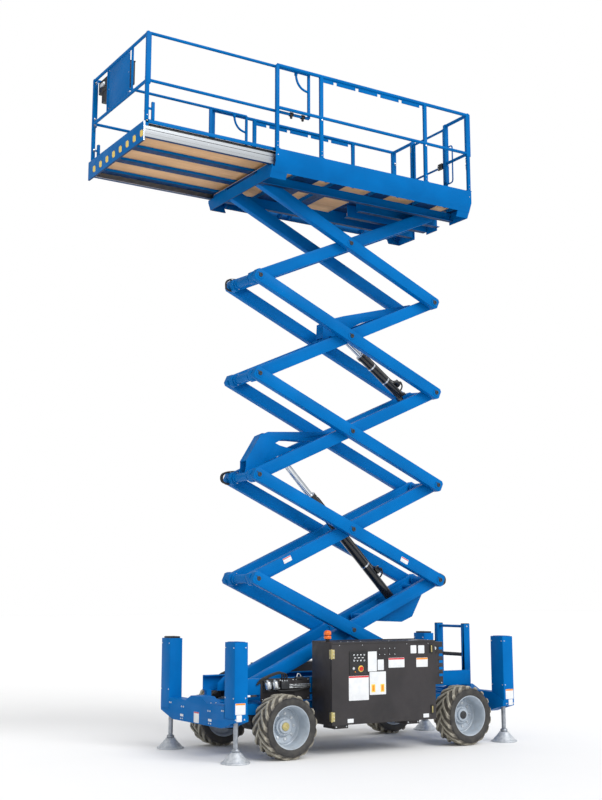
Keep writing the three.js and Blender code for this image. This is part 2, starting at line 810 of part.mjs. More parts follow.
for (const [name, spec] of Object.entries(cylinders)) {
  placeCylinder(name, spec);
}

place('platform_frame', buildPlatformFrame(), blue);
place('main_deck', buildMainDeck(), plywood);
place('rear_toe_board', buildRearToeBoard(), blue);
place('left_guardrail', buildSideGuardrail(1), blue);
place('right_guardrail', buildSideGuardrail(-1), blue);
place('entry_gate', buildGate(), blue);
place('extension_frame', buildExtensionFrame(), blue);
place('extension_deck', buildExtensionDeck(), plywood);
place('extension_guardrail', buildExtensionGuardrail(), blue);
place('front_panel', buildFrontPanel(), blue);
place('manual_box', buildManualBox(), black);
place('platform_control_box', buildControlBox(), black);

export default machine;
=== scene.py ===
import json
import math

import bpy
from mathutils import Matrix, Vector

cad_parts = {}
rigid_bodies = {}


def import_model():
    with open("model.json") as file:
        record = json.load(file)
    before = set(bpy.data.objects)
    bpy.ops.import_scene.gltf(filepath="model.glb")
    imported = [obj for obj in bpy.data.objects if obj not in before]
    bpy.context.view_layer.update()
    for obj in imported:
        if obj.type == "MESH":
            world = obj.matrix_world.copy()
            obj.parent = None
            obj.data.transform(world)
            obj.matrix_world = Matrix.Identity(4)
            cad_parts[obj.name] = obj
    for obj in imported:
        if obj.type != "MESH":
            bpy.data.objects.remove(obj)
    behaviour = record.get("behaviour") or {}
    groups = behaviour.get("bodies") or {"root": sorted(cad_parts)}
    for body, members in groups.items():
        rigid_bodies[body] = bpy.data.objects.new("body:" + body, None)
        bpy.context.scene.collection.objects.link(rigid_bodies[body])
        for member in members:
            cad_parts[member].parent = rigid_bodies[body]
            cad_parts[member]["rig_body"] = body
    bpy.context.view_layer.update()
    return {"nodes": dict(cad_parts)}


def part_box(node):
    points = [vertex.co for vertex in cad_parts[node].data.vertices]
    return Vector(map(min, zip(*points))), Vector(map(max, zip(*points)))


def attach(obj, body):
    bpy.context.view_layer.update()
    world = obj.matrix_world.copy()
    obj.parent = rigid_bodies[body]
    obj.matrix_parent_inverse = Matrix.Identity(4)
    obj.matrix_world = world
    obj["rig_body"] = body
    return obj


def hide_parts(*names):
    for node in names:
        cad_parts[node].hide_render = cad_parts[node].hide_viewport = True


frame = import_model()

mm = 0.001


# ---- places and selection

def middle(nodeName):
    low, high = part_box(nodeName)
    return (low + high) / 2


# millimetres from the ground point midway between the axles, +X forward, +Y left
axleMiddle = (middle("front_axle").x + middle("rear_axle").x) / 2


def at(x, y, z):
    return Vector((axleMiddle + x * mm, y * mm, z * mm))


bothSides = (("left", 1), ("right", -1))
bothEnds = (("front", 1), ("rear", -1))
alongX = Vector((1, 0, 0))
alongY = Vector((0, 1, 0))
alongZ = Vector((0, 0, 1))


def clearSelection():
    if bpy.context.object and bpy.context.object.mode != "OBJECT":
        bpy.ops.object.mode_set(mode="OBJECT")
    bpy.ops.object.select_all(action="DESELECT")


def only(obj):
    clearSelection()
    obj.select_set(True)
    bpy.context.view_layer.objects.active = obj
    return obj


# ---- camera, light and floor

camera = {"place": (7.5126, 11.898, 1.6844), "heading": 57.943, "climb": 9.992, "lens": 54.51,
          "shift": (0.0035, -0.0230)}


def setCamera():
    heading = math.radians(camera["heading"])
    climb = math.radians(camera["climb"])
    look = Vector((-math.cos(heading) * math.cos(climb), -math.sin(heading) * math.cos(climb),
                   math.sin(climb)))
    bpy.ops.object.camera_add(location=camera["place"])
    eye = bpy.context.object
    eye.rotation_mode = "QUATERNION"
    eye.rotation_quaternion = look.to_track_quat("-Z", "Y")
    eye.data.lens = camera["lens"]
    eye.data.shift_x, eye.data.shift_y = camera["shift"]
    eye.data.clip_end = 500
    bpy.context.scene.camera = eye


studio = {"sky": 0.7, "backdrop": 1.0, "sun": 2.0, "sunFrom": (-2.0, 9.0, 8.0), "sunAngle": 40,
          "floorReach": 160}


def setLight():
    clearSelection()
    bpy.ops.object.light_add(type="SUN", location=(-3, 9, 12))
    sun = bpy.context.object
    sun.data.energy = studio["sun"]
    sun.data.angle = math.radians(studio["sunAngle"])
    sun.rotation_mode = "QUATERNION"
    sun.rotation_quaternion = Vector(studio["sunFrom"]).to_track_quat("Z", "Y")
    world = bpy.data.worlds.new("white studio")
    world.use_nodes = True
    tree = world.node_tree
    sky = tree.nodes["Background"]
    sky.inputs["Color"].default_value = (1, 1, 1, 1)
    sky.inputs["Strength"].default_value = studio["sky"]
    backdrop = addNode(tree, "ShaderNodeBackground", {"Color": (1, 1, 1, 1), "Strength": studio["backdrop"]})
    seen = addNode(tree, "ShaderNodeLightPath")
    mix = addNode(tree, "ShaderNodeMixShader", {}, {
        0: seen.outputs["Is Camera Ray"], 1: sky.outputs[0], 2: backdrop.outputs[0]})
    tree.links.new(mix.outputs[0], tree.nodes["World Output"].inputs["Surface"])
    bpy.context.scene.world = world
    bpy.context.scene.view_settings.view_transform = "Standard"


def setFloor():
    clearSelection()
    bpy.ops.mesh.primitive_plane_add(size=studio["floorReach"], location=(0, 0, 0))
    floor = bpy.context.object
    floor.name = "studio_floor"
    floor.data.materials.append(paleFloor())


# ---- material helpers

def toLinear(code):
    channels = [int(code[i:i + 2], 16) / 255 for i in (1, 3, 5)]
    return [c / 12.92 if c <= 0.04045 else ((c + 0.055) / 1.055) ** 2.4 for c in channels] + [1.0]


def addNode(tree, kind, settings=None, links=None):
    node = tree.nodes.new(kind)
    for name, value in (settings or {}).items():
        if isinstance(name, int) or name in node.inputs:
            node.inputs[name].default_value = value
        else:
            setattr(node, name, value)
    for name, source in (links or {}).items():
        tree.links.new(source, node.inputs[name])
    return node


# the slot is the record's name for the finish
def newMaterial(name, slot):
    material = bpy.data.materials.new(name)
    material.use_nodes = True
    material["slot"] = slot
    tree = material.node_tree
    place = addNode(tree, "ShaderNodeTexCoord").outputs["Object"]
    return material, tree, tree.nodes["Principled BSDF"], place


# noise whose features are about size millimetres across
def noise(tree, place, size, detail=3.0):
    return addNode(tree, "ShaderNodeTexNoise", {"Scale": 1 / (size * mm), "Detail": detail}, {
        "Vector": place}).outputs["Fac"]


def ranged(tree, value, low, high, start=0.35, end=0.65):
    return addNode(tree, "ShaderNodeMapRange", {
        "From Min": start, "From Max": end, "To Min": low, "To Max": high}, {"Value": value}).outputs[0]


def mixed(tree, amount, first, second):
    links = {0: amount}
    settings = {"data_type": "RGBA"}
    for socket, colour in ((6, first), (7, second)):
        if isinstance(colour, str):
            settings[socket] = toLinear(colour)
        else:
            links[socket] = colour
    return addNode(tree, "ShaderNodeMix", settings, links).outputs[2]


def bump(tree, shader, height, depth, strength=1.0):
    made = addNode(tree, "ShaderNodeBump", {"Strength": strength, "Distance": depth * mm}, {"Height": height})
    tree.links.new(made.outputs[0], shader.inputs["Normal"])


# a sprayed or coated surface: two close tones in patches, a fine grain, and a gloss that varies
def coating(name, slot, look):
    material, tree, shader, place = newMaterial(name, slot)
    patch = noise(tree, place, look["patch"])
    colour = mixed(tree, ranged(tree, patch, 0, 1), look["colour"], look["second"])
    if "dust" in look:
        height = addNode(tree, "ShaderNodeSeparateXYZ", {}, {"Vector": place}).outputs["Z"]
        low = ranged(tree, height, look["dustAmount"], 0, 0, look["dustTop"] * mm)
        spread = ranged(tree, noise(tree, place, look["dustPatch"], 6), 0, 1, 0.4, 0.7)
        amount = addNode(tree, "ShaderNodeMath", {"operation": "MULTIPLY"}, {0: low, 1: spread}).outputs[0]
        colour = mixed(tree, amount, colour, look["dust"])
    tree.links.new(colour, shader.inputs["Base Color"])
    tree.links.new(ranged(tree, noise(tree, place, look["patch"] / 3), *look["rough"]),
                   shader.inputs["Roughness"])
    bump(tree, shader, noise(tree, place, look["grain"], 1), look["depth"])
    shader.inputs["Metallic"].default_value = look.get("metal", 0.0)
    shader.inputs["Coat Weight"].default_value = look.get("coat", 0.0)
    shader.inputs["Coat Roughness"].default_value = look.get("coatRough", 0.1)
    if "specular" in look:
        shader.inputs["Specular IOR Level"].default_value = look["specular"]
    return material


# ---- the finishes

# two-pack polyurethane enamel sprayed on welded steel: deep even blue with a satin sheen, a soft
# orange-peel ripple (drawn 12 mm wide, several times the real one, so that it shows) and faint dust low down
blueEnamel = coating("blue sprayed enamel", "blue_paint", {
    "colour": "#006CB6", "second": "#0063A9", "patch": 420, "grain": 12, "depth": 0.04,
    "rough": (0.36, 0.5), "specular": 0.05,
    "dust": "#4F7FA5", "dustAmount": 0.04, "dustTop": 700, "dustPatch": 70})

# the faces that look down take a dark navy blue over the enamel, dull and uneven: painted shade for the shadow
# under the platform
paintedUndersideShade = coating("painted underside shade on blue enamel", "blue_paint", {
    "colour": "#0B3766", "second": "#0A2A4C", "patch": 110, "grain": 9, "depth": 0.15,
    "rough": (0.5, 0.66), "specular": 0.15})

# epoxy powder coat on folded sheet: near-black warm grey with a fine baked texture that breaks the shine
charcoalPowder = coating("charcoal powder coat", "charcoal_paint", {
    "colour": "#2C2A2C", "second": "#343133", "patch": 260, "grain": 5, "depth": 0.18,
    "rough": (0.42, 0.56), "specular": 0.35,
    "dust": "#5A554E", "dustAmount": 0.22, "dustTop": 600, "dustPatch": 50})

# brushed-on chassis paint over cast iron: dull dark grey, lumpy from the sand mould
castIron = coating("painted cast iron", "axle_paint", {
    "colour": "#26282B", "second": "#33363A", "patch": 90, "grain": 8, "depth": 0.6,
    "rough": (0.5, 0.72), "dust": "#6B655B", "dustAmount": 0.5, "dustTop": 520, "dustPatch": 40})

# baked enamel on the pressed wheel discs: pale cool grey with a soft sheen and road dust in the dish
rimEnamel = coating("pale grey wheel enamel", "rim_paint", {
    "colour": "#B4BEC8", "second": "#A3AEB9", "patch": 120, "grain": 7, "depth": 0.08,
    "rough": (0.34, 0.5), "coat": 0.15, "dust": "#8E897F", "dustAmount": 0.45, "dustTop": 420,
    "dustPatch": 45})

# bright zinc electroplate: light grey metal, cloudy from the bath
zincPlate = coating("zinc plate", "zinc_steel", {
    "colour": "#E4E7EA", "second": "#C9CED2", "patch": 35, "grain": 6, "depth": 0.08,
    "rough": (0.26, 0.46), "metal": 1.0})

# yellow chromate passivation over zinc: brassy gold with a green cast in places
goldPassivate = coating("yellow chromate passivated steel", "zinc_steel", {
    "colour": "#CDBB82", "second": "#B5AE78", "patch": 25, "grain": 6, "depth": 0.08,
    "rough": (0.36, 0.55), "metal": 0.8})

# hot-dip galvanising on the spun feet: pale grey and nearly matt, with soft crystal patches 30 mm wide
galvanised = coating("hot-dip galvanised steel", "zinc_steel", {
    "colour": "#CFD3D8", "second": "#B4BAC1", "patch": 30, "grain": 5, "depth": 0.12,
    "rough": (0.42, 0.62), "metal": 0.45})

# drawn steel tube of the leg: satin grey with a faint vertical haze, no mirror
drawnSteel = coating("drawn steel", "rod_chrome", {
    "colour": "#A9AEB5", "second": "#8F959D", "patch": 45, "grain": 10, "depth": 0.03,
    "rough": (0.34, 0.46), "metal": 0.7})

# hard chrome, ground and polished: a mirror along the rod with very faint lines
hardChrome = coating("hard chrome", "rod_chrome", {
    "colour": "#DDE2E6", "second": "#CDD3D8", "patch": 60, "grain": 12, "depth": 0.01,
    "rough": (0.07, 0.14), "metal": 1.0})

# gloss black synthetic enamel on the cylinder tubes: reflects a soft highlight down its length
barrelBlack = coating("black cylinder enamel", "barrel_paint", {
    "colour": "#101214", "second": "#1B1D20", "patch": 150, "grain": 8, "depth": 0.05,
    "rough": (0.22, 0.34), "coat": 0.3})

# injection-moulded ABS with a spark-eroded grain: matt black housing plastic
blackAbs = coating("black moulded ABS", "black_plastic", {
    "colour": "#17181A", "second": "#1F2022", "patch": 80, "grain": 3, "depth": 0.1,
    "rough": (0.45, 0.6)})

# extruded nitrile hose cover: soft black with a dull sheen
hoseRubber = coating("black hose rubber", "black_plastic", {
    "colour": "#1A1A1B", "second": "#242425", "patch": 40, "grain": 4, "depth": 0.1,
    "rough": (0.5, 0.68)})

# gloss red moulded push button
redAbs = coating("red moulded plastic", "amber_lens", {
    "colour": "#D2271B", "second": "#C02217", "patch": 30, "grain": 3, "depth": 0.03,
    "rough": (0.25, 0.35), "coat": 0.2})

# cast vinyl film on the blank plates: flat white with a slight sheen
whiteFilm = coating("white vinyl film", "rim_paint", {
    "colour": "#E4E6E8", "second": "#DADDE0", "patch": 60, "grain": 4, "depth": 0.02,
    "rough": (0.35, 0.45)})
redFilm = coating("red vinyl film", "rim_paint", {
    "colour": "#D5323C", "second": "#C92D36", "patch": 60, "grain": 4, "depth": 0.02, "rough": (0.35, 0.45)})
orangeFilm = coating("orange vinyl film", "amber_lens", {
    "colour": "#F0911E", "second": "#E58718", "patch": 60, "grain": 4, "depth": 0.02, "rough": (0.35, 0.45)})
yellowFilm = coating("yellow vinyl film", "amber_lens", {
    "colour": "#F5D565", "second": "#EBC950", "patch": 60, "grain": 4, "depth": 0.02, "rough": (0.35, 0.45)})


# anodised aluminium extrusion: pale grey metal with die lines running the length of the channel
def makeAluminium():
    material, tree, shader, place = newMaterial("anodised aluminium extrusion", "zinc_steel")
    lines = {"acrossLines": 10, "alongLines": 4000}
    across = 1 / (lines["acrossLines"] * mm)
    stretched = addNode(tree, "ShaderNodeMapping", {
        "Scale": (1 / (lines["alongLines"] * mm), across, across)}, {"Vector": place}).outputs[0]
    die = addNode(tree, "ShaderNodeTexNoise", {"Scale": 1.0, "Detail": 2},
                  {"Vector": stretched}).outputs["Fac"]
    tree.links.new(mixed(tree, ranged(tree, die, 0, 1), "#CDD1D5", "#BFC4C9"), shader.inputs["Base Color"])
    tree.links.new(ranged(tree, die, 0.26, 0.42), shader.inputs["Roughness"])
    bump(tree, shader, die, 0.012)
    shader.inputs["Metallic"].default_value = 1.0
    return material


# film-faced birch plywood: tan face veneer with long grain 14 mm wide, darker figure and small pores
def makePlywood():
    material, tree, shader, place = newMaterial("birch plywood", "plywood")
    grain = {"width": 14, "length": 420, "figure": 260}
    across = 1 / (grain["width"] * mm)
    stretched = addNode(tree, "ShaderNodeMapping", {
        "Scale": (1 / (grain["length"] * mm), across, across)}, {"Vector": place}).outputs[0]
    fibre = addNode(tree, "ShaderNodeTexNoise", {
        "Scale": 1.0, "Detail": 5, "Distortion": 0.6}, {"Vector": stretched}).outputs["Fac"]
    figure = noise(tree, place, grain["figure"], 4)
    tan = mixed(tree, ranged(tree, fibre, 0, 1, 0.3, 0.7), "#E0B384", "#C99C6C")
    tan = mixed(tree, ranged(tree, figure, 0, 0.45), tan, "#B98F66")
    tree.links.new(tan, shader.inputs["Base Color"])
    tree.links.new(ranged(tree, fibre, 0.55, 0.7), shader.inputs["Roughness"])
    bump(tree, shader, fibre, 0.25)
    return material


# dark phenolic film pressed with a wire mesh: the deck's top, brown-black with a raised lattice
def makePhenolic():
    material, tree, shader, place = newMaterial("wire-mesh phenolic film", "plywood")
    mesh = {"pitch": 12}  # the real pitch is about 6 mm
    turned = addNode(tree, "ShaderNodeMapping", {"Rotation": (0, 0, math.radians(45))}, {
        "Vector": place}).outputs[0]
    lattice = addNode(tree, "ShaderNodeTexVoronoi", {
        "Scale": 1 / (mesh["pitch"] * mm), "Randomness": 0.0, "distance": "CHEBYCHEV"}, {"Vector": turned})
    wire = ranged(tree, lattice.outputs["Distance"], 0, 1, 0.3, 0.48)
    worn = ranged(tree, noise(tree, place, 240, 5), 0, 0.5, 0.5, 0.75)
    brown = mixed(tree, wire, "#3A2C24", "#4A382D")
    tree.links.new(mixed(tree, worn, brown, "#6B5A4B"), shader.inputs["Base Color"])
    tree.links.new(ranged(tree, wire, 0.5, 0.38, 0, 1), shader.inputs["Roughness"])
    bump(tree, shader, wire, 0.5)
    return material


# natural-rubber tread compound, dusty from the yard: khaki-grey on the lugs, and near-black in the grooves,
# where the darker grey is painted shade for the recesses
def makeTread():
    material, tree, shader, place = newMaterial("dusty tread rubber", "tread_rubber")
    dust = {"patch": 45, "grit": 4}
    # raised is 1 on the lugs' tops and 0 in the grooves, stored on the mesh
    raised = addNode(tree, "ShaderNodeAttribute", {"attribute_name": "raised"}).outputs["Fac"]
    patches = ranged(tree, noise(tree, place, dust["patch"], 6), 0.0, 1.0, 0.35, 0.65)
    dusty = mixed(tree, patches, "#BBB6A6", "#9C978A")
    # the grooves' darker greys are painted shade
    groove = mixed(tree, patches, "#706B63", "#57534C")
    tree.links.new(mixed(tree, raised, groove, dusty), shader.inputs["Base Color"])
    shader.inputs["Roughness"].default_value = 0.85
    bump(tree, shader, noise(tree, place, dust["grit"], 4), 0.5)
    return material


# cured sidewall rubber: dark grey-black, only lightly dusted, with a dull bloom
def makeSidewall():
    material, tree, shader, place = newMaterial("black sidewall rubber", "tread_rubber")
    dust = {"patch": 60, "grain": 6}
    patches = ranged(tree, noise(tree, place, dust["patch"], 6), 0.0, 1.0, 0.4, 0.7)
    tree.links.new(mixed(tree, patches, "#2B2A2A", "#45433F"), shader.inputs["Base Color"])
    tree.links.new(ranged(tree, patches, 0.5, 0.75, 0, 1), shader.inputs["Roughness"])
    bump(tree, shader, noise(tree, place, dust["grain"], 2), 0.15)
    return material


# moulded polycarbonate lens: clear amber that the light passes through
def makeAmber():
    material, tree, shader, place = newMaterial("amber polycarbonate", "amber_lens")
    cloud = noise(tree, place, 12, 2)
    tree.links.new(mixed(tree, ranged(tree, cloud, 0, 1), "#FF6A10", "#FF8426"), shader.inputs["Base Color"])
    tree.links.new(ranged(tree, cloud, 0.1, 0.18), shader.inputs["Roughness"])
    shader.inputs["IOR"].default_value = 1.585
    shader.inputs["Transmission Weight"].default_value = 0.15
    shader.inputs["Subsurface Weight"].default_value = 0.3
    shader.inputs["Subsurface Radius"].default_value = (0.01, 0.005, 0.002)
    return material


# pale matt studio paper
def paleFloor():
    material, tree, shader, place = newMaterial("pale studio floor", "rim_paint")
    tree.links.new(mixed(tree, noise(tree, place, 900), "#FBFBFB", "#F8F8F8"), shader.inputs["Base Color"])
    shader.inputs["Roughness"].default_value = 0.7
    shader.inputs["Specular IOR Level"].default_value = 0.2
    return material


aluminium = makeAluminium()
plywood = makePlywood()
phenolic = makePhenolic()
treadRubber = makeTread()
sidewallRubber = makeSidewall()
amberLens = makeAmber()
print("materials made")


# ---- modelling helpers

# the last steps of every piece: its finish, smooth faces, and the body that it rides on
def finish(obj, material, body, replaces=(), sharp=35):
    only(obj)
    if material and not obj.data.materials:
        obj.data.materials.append(material)
    bpy.ops.object.shade_smooth_by_angle(angle=math.radians(sharp))
    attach(obj, body)
    if replaces:
        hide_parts(*replaces)
    return obj


def applyModifier(obj, kind, **settings):
    only(obj)
    modifier = obj.modifiers.new(kind.title(), kind)
    for name, value in settings.items():
        setattr(modifier, name, value)
    bpy.ops.object.modifier_apply(modifier=modifier.name)


def rounded(obj, width, sharp=40, segments=2):
    applyModifier(obj, "BEVEL", width=width * mm, segments=segments, limit_method="ANGLE",
                  angle_limit=math.radians(sharp), use_clamp_overlap=True, harden_normals=False)
    return obj


# faces that pass the test take another finish
def paintFaces(obj, material, test):
    obj.data.materials.append(material)
    number = len(obj.data.materials) - 1
    for face in obj.data.polygons:
        if test(face.center, face.normal):
            face.material_index = number


# a CAD node's own shape, with its facets merged and its long edges eased
def dressed(nodeName, material, edge=2.5, others=(), sharp=35):
    piece = bpy.data.objects.new(nodeName + "_finished", frame["nodes"][nodeName].data.copy())
    bpy.context.scene.collection.objects.link(piece)
    only(piece)
    if piece.data.has_custom_normals:
        bpy.ops.mesh.customdata_custom_splitnormals_clear()
    piece.data.materials.clear()
    piece.data.materials.append(material)
    bpy.ops.object.mode_set(mode="EDIT")
    bpy.ops.mesh.select_all(action="SELECT")
    bpy.ops.mesh.remove_doubles(threshold=0.00002)
    bpy.ops.mesh.dissolve_limited(angle_limit=math.radians(0.6))
    bpy.ops.mesh.normals_make_consistent(inside=False)
    bpy.ops.object.mode_set(mode="OBJECT")
    if edge:
        easeEdges(piece, edge)
    for face in piece.data.polygons:
        face.material_index = 0
    for other, test in others:
        paintFaces(piece, other, test)
    return finish(piece, material, frame["nodes"][nodeName]["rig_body"], [nodeName], sharp)


# only edges long enough to carry the radius are eased, so that round parts stay round
def easeEdges(piece, width, shortest=30):
    mesh = piece.data
    weights = mesh.attributes.get("bevel_weight_edge") or mesh.attributes.new("bevel_weight_edge", "FLOAT",
            "EDGE")
    normals = {}
    for face in mesh.polygons:
        for key in face.edge_keys:
            normals.setdefault(key, []).append(face.normal)
    for edge in mesh.edges:
        sides = normals.get(edge.key, [])
        a, b = (mesh.vertices[v].co for v in edge.vertices)
        long = (a - b).length > shortest * mm
        bent = len(sides) == 2 and sides[0].dot(sides[1]) < math.cos(math.radians(40))
        weights.data[edge.index].value = 1.0 if long and bent else 0.0
    applyModifier(piece, "BEVEL", width=width * mm, segments=2, limit_method="WEIGHT",
                  use_clamp_overlap=False, affect="EDGES")


# a ring is raised and resized through (radius, height) pairs about +Z; closed joins the last to the first
def lathed(name, profile, steps=24, closed=False):
    clearSelection()
    radius, height = profile[0]
    bpy.ops.mesh.primitive_circle_add(vertices=steps, radius=radius * mm, location=(0, 0, height * mm),
                                      fill_type="NOTHING" if closed else "NGON")
    obj = bpy.context.object
    obj.name = name
    bpy.ops.object.transform_apply(location=True, rotation=True, scale=True)
    bpy.ops.object.mode_set(mode="EDIT")
    bpy.ops.mesh.select_all(action="SELECT")
    for (r0, z0), (r1, z1) in zip(profile, profile[1:] + profile[:1] if closed else profile[1:]):
        bpy.ops.mesh.extrude_region_move(TRANSFORM_OT_translate={"value": (0, 0, (z1 - z0) * mm)})
        bpy.ops.transform.resize(value=(r1 / r0, r1 / r0, 1), center_override=(0, 0, z1 * mm))
    bpy.ops.mesh.select_all(action="SELECT")
    bpy.ops.mesh.remove_doubles(threshold=0.00002)
    bpy.ops.mesh.normals_make_consistent(inside=False)
    bpy.ops.object.mode_set(mode="OBJECT")
    return obj


# turns a shape drawn about +Z to point along a direction, and puts its origin at a place, all in the mesh
def put(obj, place, direction=alongZ, turn=0.0):
    spin = Matrix.Rotation(turn, 4, "Z")
    obj.data.transform(Matrix.Translation(place) @ direction.to_track_quat("Z",
            "Y").to_matrix().to_4x4() @ spin)
    obj.data.update()
    return obj


def copyOf(obj):
    twin = obj.copy()
    twin.data = obj.data.copy()
    bpy.context.scene.collection.objects.link(twin)
    return twin


# the pattern is copied to each (place, direction), and then removed
def stamped(pattern, places, turn=0.0):
    made = [put(copyOf(pattern), place, direction, turn) for place, direction in places]
    bpy.data.objects.remove(pattern)
    return made


def joined(name, parts):
    clearSelection()
    for part in parts:
        part.select_set(True)
    bpy.context.view_layer.objects.active = parts[0]
    if len(parts) > 1:
        bpy.ops.object.join()
    parts[0].name = name
    return parts[0]


# a cube drawn to size between two corners, with its edges eased;
# the pressed face, if any, is inset and pushed in
def block(name, low, high, edge=2.0, pressed=None, rim=12, depth=3):
    clearSelection()
    low, high = Vector(low), Vector(high)
    bpy.ops.mesh.primitive_cube_add(size=1, location=(low + high) / 2)
    obj = bpy.context.object
    obj.name = name
    obj.scale = [abs(x) for x in high - low]
    bpy.ops.object.transform_apply(location=True, rotation=True, scale=True)
    if pressed is not None:
        bpy.ops.object.mode_set(mode="EDIT")
        bpy.ops.mesh.select_all(action="DESELECT")
        bpy.ops.object.mode_set(mode="OBJECT")
        for face in obj.data.polygons:
            face.select = face.normal.dot(pressed) > 0.9
        bpy.ops.object.mode_set(mode="EDIT")
        bpy.ops.mesh.inset(thickness=rim * mm, depth=0)
        bpy.ops.mesh.extrude_region_move(TRANSFORM_OT_translate={"value": -pressed * depth * mm})
        bpy.ops.object.mode_set(mode="OBJECT")
    return rounded(obj, edge) if edge else obj


# corners of a path are replaced by arcs of the bend radius
def softPath(points, bend):
    path = [points[0]]
    for before, corner, after in zip(points, points[1:], points[2:]):
        reach = min(bend * mm, (corner - before).length * 0.48, (after - corner).length * 0.48)
        start = corner + (before - corner).normalized() * reach
        end = corner + (after - corner).normalized() * reach
        path += [start.lerp(corner, t).lerp(corner.lerp(end, t), t) for t in (0, 0.2, 0.4, 0.6, 0.8, 1)]
    return path + [points[-1]]


def tube(name, points, radius, bend=60, rings=3):
    clearSelection()
    curve = bpy.data.curves.new(name, "CURVE")
    curve.dimensions = "3D"
    curve.bevel_depth = radius * mm
    curve.bevel_resolution = rings
    curve.use_fill_caps = True
    path = softPath([Vector(p) for p in points], bend)
    line = curve.splines.new("POLY")
    line.points.add(len(path) - 1)
    for point, place in zip(line.points, path):
        point.co = (*place, 1)
    obj = bpy.data.objects.new(name, curve)
    bpy.context.scene.collection.objects.link(obj)
    only(obj)
    bpy.ops.object.convert(target="MESH")
    return bpy.context.object


# a flat outline in millimetres, raised to a thickness about its own plane
def plate(name, outline, thickness, edge=0.8):
    clearSelection()
    curve = bpy.data.curves.new(name, "CURVE")
    curve.dimensions = "2D"
    curve.fill_mode = "BOTH"
    curve.extrude = thickness / 2 * mm
    line = curve.splines.new("POLY")
    line.points.add(len(outline) - 1)
    for point, (x, y) in zip(line.points, outline):
        point.co = (x * mm, y * mm, 0, 1)
    line.use_cyclic_u = True
    obj = bpy.data.objects.new(name, curve)
    bpy.context.scene.collection.objects.link(obj)
    only(obj)
    bpy.ops.object.convert(target="MESH")
    obj = bpy.context.object
    bpy.ops.object.mode_set(mode="EDIT")
    bpy.ops.mesh.select_all(action="SELECT")
    bpy.ops.mesh.remove_doubles(threshold=0.00002)
    bpy.ops.mesh.dissolve_limited(angle_limit=math.radians(1))
    bpy.ops.mesh.normals_make_consistent(inside=False)
    bpy.ops.object.mode_set(mode="OBJECT")
    return rounded(obj, edge) if edge else obj


# ---- fasteners

# hexagon head on a washer, drawn about +Z with the seat at the origin
def hexBolt(size=12, material=None):
    washer = lathed("washer", [(size * 1.1, 0), (size * 1.1, size * 0.16)], 16)
    head = lathed("head", [(size * 0.92, size * 0.16), (size * 0.92, size * 0.66),
                           (size * 0.78, size * 0.8)], 6)
    bolt = joined("bolt", [washer, head])
    bolt.data.materials.append(material or zincPlate)
    return bolt


# ---- fittings placed in machine millimetres

# a block between two corners, with its finish
def bar(material, x, y, z, edge=1.5, **more):
    obj = block("bar", at(x[0], y[0], z[0]), at(x[1], y[1], z[1]), edge, **more)
    obj.data.materials.append(material)
    return obj


# a round shape standing on a place and pointing along a direction; profile is (radius, height)
def turnedPart(material, place, direction, profile, steps=20):
    obj = lathed("turned", profile, steps)
    obj.data.materials.append(material)
    return put(obj, place, direction)


# a round bar or hose through machine points
def pipe(material, points, radius, bend=40):
    obj = tube("pipe", [at(*p) for p in points], radius, bend)
    obj.data.materials.append(material)
    return obj


def bolts(places, direction, size=8, material=None):
    return stamped(hexBolt(size, material), [(place, direction) for place in places])


def cornered(width, height, corner=6, steps=3):
    points = []
    for acrossSign, upSign, start in ((1, 1, 0), (-1, 1, 90), (-1, -1, 180), (1, -1, 270)):
        for step in range(steps + 1):
            turn = math.radians(start + 90 * step / steps)
            points.append((acrossSign * (width / 2 - corner) + corner * math.cos(turn),
                           upSign * (height / 2 - corner) + corner * math.sin(turn)))
    return points


# a thin sheet with round corners on a face that looks along direction; place is the middle of its back
def film(material, place, width, height, direction, thick=1.2, corner=6):
    piece = plate("film", cornered(width, height, corner), thick, 0.3)
    piece.data.materials.append(material)
    return put(piece, place + direction * thick / 2 * mm, direction)


# ---- running gear

tyre = {"inner": 570, "outer": 875, "radius": 330, "carcass": 306, "bead": 224, "lugs": 17, "lugWidth": 44}


# the carcass is lathed about the axle, and the lugs are bars that sweep from the middle to each shoulder
def makeTyre(endName, sideName, end, side):
    inner, outer = tyre["inner"], tyre["outer"]
    centre = (inner + outer) / 2
    half = (outer - inner) / 2
    profile = [
        (tyre["bead"], -half + 14), (tyre["bead"] + 22, -half + 4), (270, -half + 1), (288, -half + 4),
        (tyre["carcass"] - 4, -half + 20), (tyre["carcass"], -half + 44), (tyre["carcass"] + 3, 0),
        (tyre["carcass"], half - 44), (tyre["carcass"] - 4, half - 20), (288, half - 4), (270, half - 1),
        (tyre["bead"] + 22, half - 4), (tyre["bead"], half - 14)]
    carcass = lathed("carcass", profile, 72, closed=True)
    parts = [carcass]
    for hand in (1, -1):
        lug = makeLug(hand, half)
        for number in range(tyre["lugs"]):
            turn = (number + (0.5 if hand < 0 else 0.0)) * 2 * math.pi / tyre["lugs"]
            twin = copyOf(lug)
            twin.data.transform(Matrix.Rotation(turn, 4, "Z"))
            parts.append(twin)
        bpy.data.objects.remove(lug)
    whole = joined(f"{endName}_{sideName}_tyre_rubber", parts)
    raised = whole.data.attributes.new("raised", "FLOAT", "POINT")
    for vertex in whole.data.vertices:
        r = math.hypot(vertex.co.x, vertex.co.y) / mm
        raised.data[vertex.index].value = min(max((r - tyre["carcass"] - 2) / 16, 0), 1)
    # the chevrons point the same way round on both sides of the machine
    if side < 0:
        whole.data.transform(Matrix.Rotation(math.pi, 4, "X"))
    put(whole, at(1195 * end, centre * side, 330), alongY)
    whole.data.materials.append(treadRubber)
    axis = at(1195 * end, 0, 330)
    reach = (tyre["carcass"] - 8) * mm
    paintFaces(whole, sidewallRubber, lambda c, n: math.hypot(c.x - axis.x, c.z - axis.z) < reach)
    return finish(whole, treadRubber, f"{endName}_{sideName}_wheel", [f"{endName}_{sideName}_tyre"], 32)


